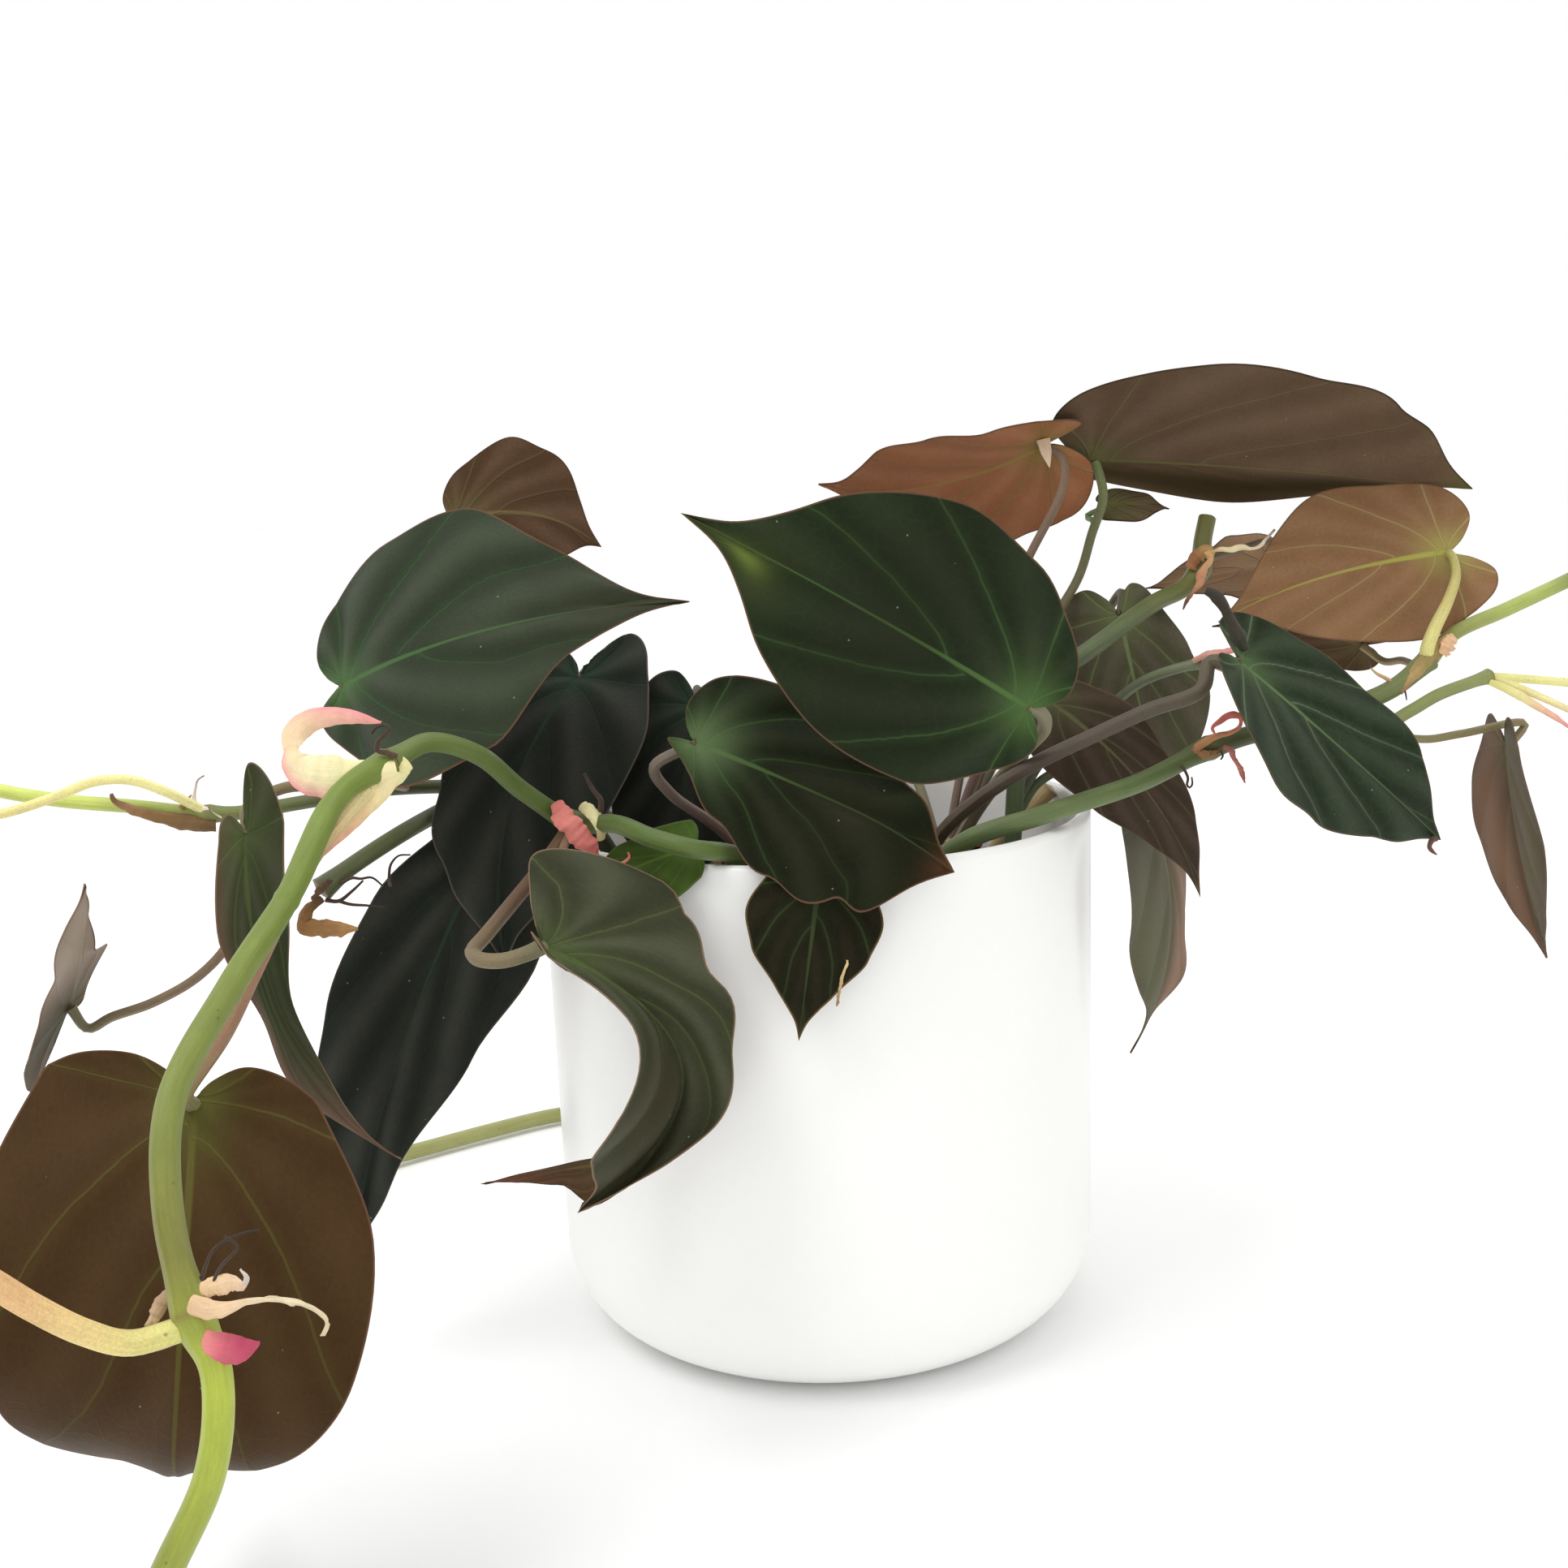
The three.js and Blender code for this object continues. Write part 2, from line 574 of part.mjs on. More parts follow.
// Front vine: out over the left of the front rim, up to its first joint and down toward the viewer
const frontVine = { foot: [2, -32], radius: 2 };
const frontJoint = [-51.4, -44, 127];
const frontTopJoint = [-81, -82, 147];
const frontLowJoint = [-97, -166, 79];
const frontRun = [
  [-5, -43, 111.5], [-12, -51, 117.6], [-18.2, -56.5, 121.7], [-25.6, -63.4, 124.5],
  [-34.2, -60, 126.4], [-42, -51.5, 127.8], frontJoint, [-60.3, -52, 135.3], [-67.2, -64, 145.2],
  [-75, -71, 149], frontTopJoint,
];
const frontHang = [
  frontTopJoint, [-87.8, -92, 143.2], [-92.8, -114, 129.2], [-97.7, -134, 119.2], [-102.5, -151, 107],
  [-101, -161, 93], frontLowJoint, [-93, -170, 72], [-93, -176, 60], [-98, -183, 49], [-110, -192, 26],
  [-122, -202, 8],
  [-138, -212, 3.6], [-150, -218, 3.2],
];
const bentLeafStalk = [
  frontJoint, [-57.7, -54, 119.5], [-63, -62, 114], [-67, -70, 110], [-69, -74, 108], [-67, -78, 107.4],
  [-62, -79.5, 107.4], [-55.7, -78.6, 109.1],
];
const frontLowLeafStalk = [
  [-83, -84, 144], [-86, -93, 138.5], [-89, -104, 132], [-92, -114, 124.5], [-98, -120, 116],
  [-103, -122, 108],
];
const nearLeafStalk = [
  [-98, -167, 77.5], [-105, -170, 77], [-110, -174, 81], [-115, -178, 87], [-119, -183, 94],
  [-123, -188, 100],
];
const redTipStalk = [
  frontJoint, [-53, -55, 120], [-44, -60.5, 108], [-28, -61.5, 88], [-29, -61.5, 72], [-36, -61, 61],
];

function makeFrontVine() {
  return join([
    rooted(frontVine, frontRun),
    tube(frontHang, 2.3),
    knuckle(frontJoint, 3),
    knuckle(frontTopJoint, 3.3),
    knuckle(frontLowJoint, 3.7),
    stalk(bentLeafStalk, 1.5),
    leafStalk('leaf_front_low', frontLowLeafStalk, 1.4),
    leafStalk('leaf_near_left', nearLeafStalk, 1.9),
    leafStalk('leaf_red_tip', redTipStalk, 0.9),
  ]);
}

// Left vine: yellow green, out over the left rim and past the left of the picture
const leftVine = { foot: [-38, 8], radius: 1.6 };
const leftRun = [
  [-42, 6, 112], [-51, 3, 120], [-61, 0, 125], [-76, -3, 128], [-98, -12, 130], [-115, -16, 128.5],
  [-129, -18, 127], [-154, -16, 129], [-170, -14, 130.5], [-185, -12, 133], [-198, -12, 137],
];
const leftJoint = [-136, -18, 127];
const foldedLeafStalk = [[-93, -10, 130], [-96, -26, 134], [-103, -43, 136.5], [-110, -50, 137.5]];
const farLeafStalk = [
  [-128, -18, 126], [-130, -16, 112], [-134, -17, 98], [-142, -18, 89.5], [-152, -21, 84.5],
  [-161, -23, 82],
];
const edgeLeafStalk = [
  leftJoint, [-144, -22, 133], [-151, -23, 136], [-159, -23, 136], [-168, -25, 133], [-178, -28, 130.5],
  [-188, -30, 130],
];

function makeLeftVine() {
  return join([
    rooted(leftVine, leftRun),
    knuckle(leftJoint, 2.3),
    leafStalk('leaf_folded_left', foldedLeafStalk, 1.2),
    leafStalk('leaf_far_left', farLeafStalk, 1.1),
    leafStalk('leaf_left_edge', edgeLeafStalk, 1.1),
    leafStalk('leaf_left_tip', [[-194, -12, 135.5]], 0.9),
  ]);
}

// Low left vine: green, to a joint with aerial roots, with the pleated leaf's stalk
const lowLeftVine = { foot: [-45, -8], radius: 1.9 };
const lowLeftJoint = [-105, -46, 115];
const lowLeftRun = [
  [-48, -8, 113], [-55, -8, 123], [-63, -8, 129], [-70, -11, 130], [-79, -20, 128], [-89, -34, 124.5],
  [-100, -43, 118.5], lowLeftJoint,
];

function makeLowLeftVine() {
  return join([
    rooted(lowLeftVine, lowLeftRun),
    knuckle(lowLeftJoint, 2.8),
    leafStalk('leaf_pleated', [[-64, -9, 128.5], [-64, -18, 129], [-64, -26, 129]], 1.3),
  ]);
}

// Upper right vine: blue green, up to a joint under the top right leaf
const upperRightVine = { foot: [46, 0], radius: 2.1 };
const upperRightJoint = [94, 16, 171];
const upperRightRun = [
  [46.5, 0, 112], [48, 0.5, 128], [51.5, 1.5, 141], [57.5, 2, 149], [65, 2.5, 154], [73, 5, 159],
  [82, 10, 164], [90, 14, 167], upperRightJoint, [95.5, 19, 178], [97, 21, 183],
];
const sideShoot = [
  [46.8, 0, 118], [56, 8, 129], [70, 9, 139], [78, 7, 145.5], [85, 2, 149], [91, 0, 150.5],
];
const sideShootJoint = [89, 0.6, 150.3];

function makeUpperRightVine() {
  return join([
    rooted(upperRightVine, upperRightRun),
    knuckle(upperRightJoint, 2.9),
    leafStalk('leaf_back_right', [[96, 19, 173], [108, 29, 175], [117, 36, 176]], 0.9),
    leafStalk('leaf_hang_right', [[46, 0, 113], [54, 6, 123], [65, 10, 125.5], [74, 13, 120]], 1.1),
    stalk(sideShoot, 1.2),
    knuckle(sideShootJoint, 2),
  ]);
}

// Right vine: green, out over the right rim, with a side shoot and a cut end past the picture's edge
const rightVine = { foot: [20, -28], radius: 2.1 };
const rightJoint = [87.5, -22, 134];
const rightFarJoint = [142, -4, 149.5];
const rightFork = [157, -2, 145];
const rightRun = [
  [24, -34, 112], [33, -39, 119.5], [46, -38, 123], [58, -34.5, 125.6], [71, -29.5, 128.4], rightJoint,
  [96, -20, 136], [109, -16, 138], [124, -11, 141], [133, -8, 144], rightFarJoint,
];
const rightEnd = [rightFarJoint, [148, -2, 155], [162, 2, 160], [176, 6, 165], [184, 8, 168]];
const rightShoot = [
  [124, -12, 140], [129, -14, 137], [135, -12, 139], [143, -8, 142], [152, -4, 144], rightFork,
];
const rightStalkLow = [rightFork, [165, -5, 141.5], [173, -8, 137.5], [182, -11, 133]];
const rightLeafStalk = [
  rightFarJoint, [141, -6, 152], [143, -5, 157], [147, -2, 163], [150.5, 3, 168.5], [151.2, 7.2, 172.2],
];

function makeRightVine() {
  return join([
    rooted(rightVine, rightRun),
    tube(rightEnd, 1.65),
    stalk(rightShoot, 1.4),
    stalk(rightStalkLow, 1),
    knuckle(rightJoint, 2.9),
    knuckle(rightFarJoint, 2.9),
    knuckle(rightFork, 2),
    stalk(rightLeafStalk, 1),
    leafStalk('leaf_far_right', [[125, -11, 139], [133, -3, 133], [143, 0, 130.5], [153, 3, 131]], 0.95),
    leafStalk('leaf_behind_right', [[142, -2, 147], [141, 10, 148]], 0.9),
    leafStalk('leaf_right_edge', [rightFork, [168, 1, 143.5], [178, 4, 142], [190, 8, 140]], 1),
  ]);
}

// Back vine: out over the back rim, down behind the pot and along the floor
const backVine = { foot: [-4, 30], radius: 2.2 };
const backJoint = [-27, 94, 84];
const backRun = [
  [-6, 40, 112], [-10, 54, 122.5], [-15, 66, 125], [-20, 80, 112], backJoint, [-34, 105, 48],
  [-42, 114, 16], [-54, 119, 4.5], [-70, 120, 2.9], [-82, 117, 2.9], [-100, 106, 2.9], [-121, 91, 2.9],
  [-132, 82, 3.6],
];

function makeBackVine() {
  return join([
    rooted(backVine, backRun),
    knuckle(backJoint, 2.9),
    leafStalk('leaf_back_crown', [[-8, 50, 120], [-20, 46, 128], [-31, 42, 133]], 1.2),
    leafStalk('leaf_back_low', [backJoint, [-24, 90, 98]], 1.1),
    leafStalk('leaf_floor_back', [[-60, 120, 3.6], [-65, 126, 4.6]], 1.1),
    leafStalk('leaf_floor_end', [[-130, 84, 3.6]], 1),
  ]);
}

// Crowns: short stems in the mix with the leaf stalks that rise from them
const leftCrown = { foot: [-26, -2], radius: 2.6 };
const centreCrown = { foot: [-10, -20], radius: 2.6 };
const rightCrown = { foot: [30, -8], radius: 2.8 };
const upperLeftStalk = [
  [-27, -2, 108], [-46, -6, 127], [-68, -13, 139], [-89, -21, 147], [-101, -27, 151],
];
const backLeftStalk = [
  [-28, 0, 108], [-42, 0, 132], [-64, 2, 158], [-78, 3.5, 176], [-82, 6, 184], [-82.3, 9.2, 187.8],
];
const belowRimStalk = [
  [-9, -22, 107], [-4, -45, 119], [-1, -57, 121.8], [-1, -61.5, 121.9], [-0.9, -64, 120.6],
];
const brightStalk = [[-10, -22, 107], [-15, -40, 117], [-19.5, -50, 120.6]];

function makeLeftCrown() {
  return join([
    rooted(leftCrown, [[-27, -2, 112]]),
    leafStalk('leaf_upper_left', upperLeftStalk, 1.4),
    stalk(backLeftStalk, 1.1),
    leafStalk('leaf_hang_left', [[-27, -2, 108], [-38, -4, 130], [-46, -7, 150]], 1.2),
    leafStalk('leaf_dark_inner', [[-26, -2, 108], [-23, -3, 128], [-24, -5, 143]], 1),
  ]);
}

function makeCentreCrown() {
  return join([
    rooted(centreCrown, [[-10, -21, 111]]),
    leafStalk('leaf_over_rim', [[-10, -22, 107], [-22, -30, 122], [-31, -38, 131], [-34, -43, 138]], 1.2),
    stalk(belowRimStalk, 0.8),
    leafStalk('leaf_bright', brightStalk, 0.8),
  ]);
}
const rightGreenStalk = [
  [29, -10, 105], [26, -19, 112], [28, -24, 118], [36, -28, 126], [48, -32, 134], [60, -35, 140],
  [71, -36.5, 145], [82, -37, 149],
];
const topRightStalk = [
  [31, -5, 108], [46, 10, 138], [58, 18, 158], [66, 21, 170], [69, 20, 180], [71.3, 17, 189],
  [70.2, 17.6, 195.2],
];
const purpleStalk = [[30, -7, 108], [38, -4, 128], [45, -3, 139], [50, -3, 145.5], [53.2, -5.6, 146.2]];

function makeRightCrown() {
  return join([
    rooted(rightCrown, [[30, -7, 112]]),
    leafStalk('leaf_centre', [[30, -8, 107], [37, -17, 122], [44, -30, 135], [48, -42, 143]], 1.5),
    leafStalk('leaf_right_green', rightGreenStalk, 1.6),
    leafStalk('leaf_grey_heart', [[31, -6, 108], [44, 14, 126], [58, 30, 142], [71, 31, 155]], 1.1),
    stalk(purpleStalk, 1.1),
    leafStalk('leaf_top_middle', [[30, -5, 108], [38, 6, 138], [50, 6, 172], [60, 6, 192]], 1),
    stalk(topRightStalk, 1.1),
    leafStalk('leaf_small_top', [[69, 20, 180], [70, 23, 183]], 0.7),
    leafStalk('leaf_back_middle', [[29, -5, 108], [24, 20, 126], [16, 38, 135]], 1.2),
  ]);
}

// Cut stub of an old stem that leans to the right wall
const cutStem = { foot: [44, 14], radius: 1.8 };

function makeCutStem() {
  return rooted(cutStem, [[50, 14, 112], [57.5, 14, 119.5]]);
}

// Bracts and sheaths: points, half widths along them, and the way that their face looks
const bracts = {
  bract_front_top: {
    points: [
      [-84.3, -81.4, 146.3], [-89, -83.5, 142.5], [-94.5, -86, 143.5], [-97.5, -87, 150],
      [-95, -87, 156.5],
      [-89, -87, 158.5], [-83, -86, 156.5],
    ],
    halfWidths: [1, 4.6, 4.2, 3.2, 2.2, 1.8, 0.6], facing: [-0.2, -1, 0.5], look: finish.bract,
  },
  bract_front_rim: {
    points: [[-52.9, -50.6, 130.7], [-50, -51, 129], [-47.1, -52.6, 125.4], [-47, -52, 122]],
    halfWidths: [0.8, 3, 3, 0.8], facing: [0.1, -1, 0.2], look: finish.bract,
  },
  bract_front_low: {
    points: [
      [-94.9, -168.9, 81.1], [-88, -171, 84.5], [-81, -173, 85.5], [-76, -174.5, 85],
      [-74, -175.5, 81.5],
    ],
    halfWidths: [1.5, 2.2, 1.2, 1, 0.5], facing: [0, -1, 0.4], look: finish.dry,
  },
  bract_front_red: {
    points: [[-94.5, -169.3, 78.1], [-89, -172, 76.5], [-85.5, -173.2, 78]],
    halfWidths: [1, 2.4, 0.6], facing: [0, -1, 0.3], look: finish.bract,
  },
  sheath_left: {
    points: [
      [-157, -19, 131], [-151, -19, 126.5], [-145, -19.5, 125], [-139, -20, 123.6],
      [-133, -20.3, 124.5],
    ],
    halfWidths: [0.7, 2, 2.4, 2, 0.6], facing: [0, -0.6, -0.8], look: finish.dry,
  },
  bract_low_left: {
    points: [[-105.9, -48.3, 112.9], [-109, -49.5, 110], [-104, -51, 107.5], [-97, -51, 107]],
    halfWidths: [0.8, 1.8, 2, 0.6], facing: [0, -1, 0], look: finish.dry,
  },
  sheath_right: {
    points: [[134, -10.6, 144], [138, -9.4, 147.5], [143, -7.8, 150.5], [149, -5.2, 155.5]],
    halfWidths: [0.8, 2.4, 2.2, 0.6], facing: [0.2, -1, 0.2], look: finish.dry,
  },
  bract_right_red: {
    points: [[86.5, -25.6, 132.5], [88.5, -26.6, 136.5], [91.5, -28, 139.6], [95, -30, 141.5]],
    halfWidths: [0.8, 1.8, 1.4, 0.5], facing: [0, -1, 0.2], look: finish.bract,
  },
  bract_upper_right: {
    points: [[95.4, 13, 171.5], [100, 12, 175], [105, 11, 176], [110, 9, 180]],
    halfWidths: [0.8, 1.6, 1.4, 0.5], facing: [0, -1, 0.3], look: finish.dry,
  },
  bract_side_shoot: {
    points: [[90.5, -1.6, 150.8], [94, -3.6, 153], [99, -5, 154]],
    halfWidths: [0.7, 1.2, 0.5], facing: [0, -1, 0.6], look: finish.bract,
  },
  bract_right_tip: {
    points: [[158, -4.4, 143.2], [164, -7, 139], [172, -10, 134]],
    halfWidths: [0.8, 1.4, 0.5], facing: [0, -1, 0.3], look: finish.bract,
  },
};

const underside = [
  'leaf_back_left', 'leaf_front_low', 'leaf_top_right', 'leaf_top_middle', 'leaf_right_under',
];
const stems = [
  frontVine, leftVine, lowLeftVine, upperRightVine, rightVine, backVine, leftCrown, centreCrown, rightCrown,
  cutStem,
];

addMesh('pot', makePot(), finish.pot);
addMesh('soil', makeMix(stems), finish.mix);
addMesh('vine_front', geometryOf(makeFrontVine()), finish.stem);
addMesh('vine_left', geometryOf(makeLeftVine()), finish.paleStem);
addMesh('vine_low_left', geometryOf(makeLowLeftVine()), finish.stem);
addMesh('vine_upper_right', geometryOf(makeUpperRightVine()), finish.stem);
addMesh('vine_right', geometryOf(makeRightVine()), finish.stem);
addMesh('vine_back', geometryOf(makeBackVine()), finish.stem);
addMesh('crown_left', geometryOf(makeLeftCrown()), finish.stalk);
addMesh('crown_centre', geometryOf(makeCentreCrown()), finish.stalk);
addMesh('crown_right', geometryOf(makeRightCrown()), finish.stalk);
addMesh('cut_stem', geometryOf(makeCutStem()), finish.dry);
for (const [name, leaf] of Object.entries(leaves)) {
  addMesh(name, makeLeaf(leaf), underside.includes(name) ? finish.underside : finish.leaf);
}
for (const [name, bract] of Object.entries(bracts)) {
  addMesh(name, ribbon(bract.points, bract.halfWidths, bract.facing), bract.look);
}

export default group;
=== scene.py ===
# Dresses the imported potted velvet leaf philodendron: leaves with veins, grooved stems, papery bracts,
# thin roots, a glazed pot and its potting mix. Lengths are in millimetres until a mesh is made.
import bpy
import math
import numpy as np
from mathutils import Matrix


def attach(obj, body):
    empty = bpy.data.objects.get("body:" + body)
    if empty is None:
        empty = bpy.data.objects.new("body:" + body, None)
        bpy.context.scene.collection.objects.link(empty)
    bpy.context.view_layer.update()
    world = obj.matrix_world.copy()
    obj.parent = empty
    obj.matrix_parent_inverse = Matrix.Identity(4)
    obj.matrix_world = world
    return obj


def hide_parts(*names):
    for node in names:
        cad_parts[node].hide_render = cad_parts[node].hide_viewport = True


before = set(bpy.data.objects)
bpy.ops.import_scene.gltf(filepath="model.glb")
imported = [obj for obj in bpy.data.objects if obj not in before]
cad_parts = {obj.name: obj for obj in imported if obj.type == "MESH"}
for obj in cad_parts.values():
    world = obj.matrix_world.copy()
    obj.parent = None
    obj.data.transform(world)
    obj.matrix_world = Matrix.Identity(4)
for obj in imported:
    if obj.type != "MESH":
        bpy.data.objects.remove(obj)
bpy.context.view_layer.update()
metre = 0.001  # millimetres to metres


def paint(red, green, blue):
    # Screen colour 0 to 255 as linear light, with a full alpha
    share = np.array([red, green, blue], float) / 255
    linear = np.where(share <= 0.04045, share / 12.92, ((share + 0.055) / 1.055) ** 2.4)
    return (*[float(value) for value in linear], 1.0)


# Meshes: grids and fans of faces, gathered into one object for each piece
class Heap:
    # Points, quads and triangles with their corner UVs, their material numbers and their point attributes
    def __init__(self):
        self.points, self.quads, self.tris = [], [], []
        self.quadLook, self.triLook, self.quadUv, self.triUv = [], [], [], []
        self.marks = {}
        self.count = 0

    def add(self, points, quads, tris, quadUv, triUv, quadLook=0, triLook=0, **marks):
        self.points.append(points)
        self.quads.append(quads + self.count)
        self.tris.append(tris + self.count)
        self.quadUv.append(quadUv.reshape(-1, 2))
        self.triUv.append(triUv.reshape(-1, 2))
        self.quadLook.append(np.broadcast_to(quadLook, (len(quads),)))
        self.triLook.append(np.broadcast_to(triLook, (len(tris),)))
        for name, values in marks.items():
            self.marks.setdefault(name, []).append(values)
        self.count += len(points)

    def make(self, name, nodes, materials, sharp):
        # Edges bent by more than sharp degrees are shaded sharp
        points = np.concatenate(self.points) * metre
        quads, tris = np.concatenate(self.quads), np.concatenate(self.tris)
        mesh = bpy.data.meshes.new(name)
        mesh.from_pydata(points.tolist(), [], quads.tolist() + tris.tolist())
        uv = np.concatenate(self.quadUv + self.triUv)
        mesh.uv_layers.new(name="skin").data.foreach_set("uv", uv.astype(np.float32).ravel())
        for mark, parts in self.marks.items():
            values = np.concatenate(parts).astype(np.float32)
            kind, field = ("FLOAT", "value") if values.ndim == 1 else ("FLOAT_COLOR", "color")
            mesh.attributes.new(mark, kind, "POINT").data.foreach_set(field, values.ravel())
        for material in materials:
            mesh.materials.append(material)
        looks = np.concatenate(self.quadLook + self.triLook).astype(np.int32)
        mesh.polygons.foreach_set("material_index", looks)
        mesh.polygons.foreach_set("use_smooth", np.ones(len(looks), bool))
        mesh.update()
        mesh.set_sharp_from_angle(angle=math.radians(sharp))
        piece = bpy.data.objects.new(name, mesh)
        bpy.context.scene.collection.objects.link(piece)
        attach(piece, "root")
        if nodes:
            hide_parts(*nodes)


def gridQuads(rows, columns, wrap=False):
    # Corner numbers, and the (column, row) of each corner, for a grid of rows x columns points
    across = columns if wrap else columns - 1
    row, column = np.meshgrid(np.arange(rows - 1), np.arange(across), indexing="ij")
    after = (column + 1) % columns
    quads = np.stack([row * columns + column, row * columns + after,
                      (row + 1) * columns + after, (row + 1) * columns + column], -1).reshape(-1, 4)
    share = np.stack([np.stack([column, row], -1), np.stack([column + 1, row], -1),
                      np.stack([column + 1, row + 1], -1), np.stack([column, row + 1], -1)], -2)
    return quads, share.reshape(-1, 4, 2).astype(float)


def endFans(rows, sides, inward=False):
    # Triangles from the first and the last ring of a closed grid to two end points, numbered after the grid
    number, total = np.arange(sides), rows * sides
    after = (number + 1) % sides
    if inward:
        number, after = after, number
    low = np.stack([after, number, np.full(sides, total)], 1)
    high = np.stack([number + total - sides, after + total - sides, np.full(sides, total + 1)], 1)
    return np.concatenate([low, high])


def unit(vectors):
    return vectors / np.maximum(np.linalg.norm(vectors, axis=-1, keepdims=True), 1e-9)


def ease(low, high, value):
    # Nought at low, one at high, and level at both
    share = np.clip((value - low) / (high - low), 0, 1)
    return share * share * (3 - 2 * share)


def hump(distance, reach):
    # Bell curve: one at no distance and about a third at the reach
    return np.exp(-((distance / reach) ** 2))


def readAlong(share, values):
    # Numbers or colours at even stations from 0 to 1, read at each share between them
    values = np.array(values, float)
    stations = np.linspace(0, 1, len(values))
    if values.ndim == 1:
        return np.interp(share, stations, values)
    return np.stack([np.interp(share, stations, part) for part in values.T], 1)


def throughPoints(points, spacing):
    # Centripetal Catmull-Rom curve through the points, as places an even spacing apart
    points = np.array(points, float)
    last = len(points) - 1
    ends = np.vstack([2 * points[0] - points[1], points, 2 * points[-1] - points[-2]])
    gaps = np.sqrt(np.linalg.norm(np.diff(ends, axis=0), axis=1))
    share = np.linspace(0, last, 24 * last + 1)
    index = np.minimum(share.astype(int), last - 1)
    place = (share - index)[:, None]
    before, start, end, after = ends[index], ends[index + 1], ends[index + 2], ends[index + 3]
    gap0, gap1, gap2 = gaps[index][:, None], gaps[index + 1][:, None], gaps[index + 2][:, None]
    leave = ((start - before) / gap0 - (end - before) / (gap0 + gap1) + (end - start) / gap1) * gap1
    arrive = ((end - start) / gap1 - (after - start) / (gap1 + gap2) + (after - end) / gap2) * gap1
    curve = (2 * place**3 - 3 * place**2 + 1) * start + (place**3 - 2 * place**2 + place) * leave
    curve += (-2 * place**3 + 3 * place**2) * end + (place**3 - place**2) * arrive
    length = np.concatenate([[0], np.cumsum(np.linalg.norm(np.diff(curve, axis=0), axis=1))])
    even = np.linspace(0, length[-1], max(4, int(round(length[-1] / spacing)) + 1))
    nodes = np.interp(np.arange(len(points)), share, length) / length[-1]
    return np.stack([np.interp(even, length, curve[:, axis]) for axis in range(3)], 1), even, nodes


def turnAlong(path):
    # Two directions square to the path at each of its places, carried along without twisting
    along = unit(np.gradient(path, axis=0))
    start = np.cross(along[0], [0, 0, 1]) if abs(along[0][2]) < 0.9 else np.cross(along[0], [1, 0, 0])
    side = [start / np.linalg.norm(start)]
    for tangent in along[1:]:
        moved = side[-1] - tangent * (side[-1] @ tangent)
        side.append(moved / np.linalg.norm(moved))
    side = np.array(side)
    return along, side, np.cross(along, side)


# Joints of the stems; each reach is in stem radii
joint = {
    "reach": 2.1, "ringReach": 0.22, "ringHeight": 0.1,
    "scarReach": 0.3, "scarStrength": 0.45, "scarColour": (120, 92, 60),
}
domeHeight = 0.35  # of a stem's end, in stem radii


def tubeAlong(heap, points, radius, tones, sides, look=0, swells=(), spacing=1.2, ridge=0.04, ends=(1, 1)):
    # Round stem: circles along a curve, swollen at joints, with five shallow ridges along it and domed ends
    path, length, nodes = throughPoints(points, spacing)
    along, side, out = turnAlong(path)
    rows, share = len(path), length / length[-1]
    size = np.full(rows, 1.0) * radius
    size *= ends[0] + (ends[1] - ends[0]) * share
    colour = readAlong(share, [paint(*tone) for tone in tones])
    for index, swell in swells:
        gap = (share - nodes[index]) * length[-1]
        ring = joint["ringHeight"] * hump(gap, joint["ringReach"] * radius)
        size *= 1 + swell * hump(gap, joint["reach"] * radius) + ring
        scar = (joint["scarStrength"] * hump(gap, joint["scarReach"] * radius) * min(1, swell * 4))[:, None]
        colour[:, :3] = colour[:, :3] * (1 - scar) + np.array(paint(*joint["scarColour"])[:3]) * scar
    turn = np.arange(sides) * 2 * np.pi / sides
    reach = size[:, None] * (1 + ridge * np.cos(5 * turn[None, :] + 3 * share[:, None]))
    rings = path[:, None] + reach[..., None] * (np.cos(turn)[None, :, None] * side[:, None]
                                                + np.sin(turn)[None, :, None] * out[:, None])
    domes = np.array([path[0] - along[0] * size[0] * domeHeight,
                      path[-1] + along[-1] * size[-1] * domeHeight])
    quads, uv = gridQuads(rows, sides, wrap=True)
    fans = endFans(rows, sides)
    fanUv = np.zeros((len(fans), 3, 2))
    fanUv[sides:, :, 1] = length[-1] / 10
    heap.add(np.concatenate([rings.reshape(-1, 3), domes]), quads, fans,
             uv * [1 / sides, length[-1] / (rows - 1) / 10], fanUv, look, look,
             tone=np.concatenate([np.repeat(colour, sides, 0), colour[[0, -1]]]))


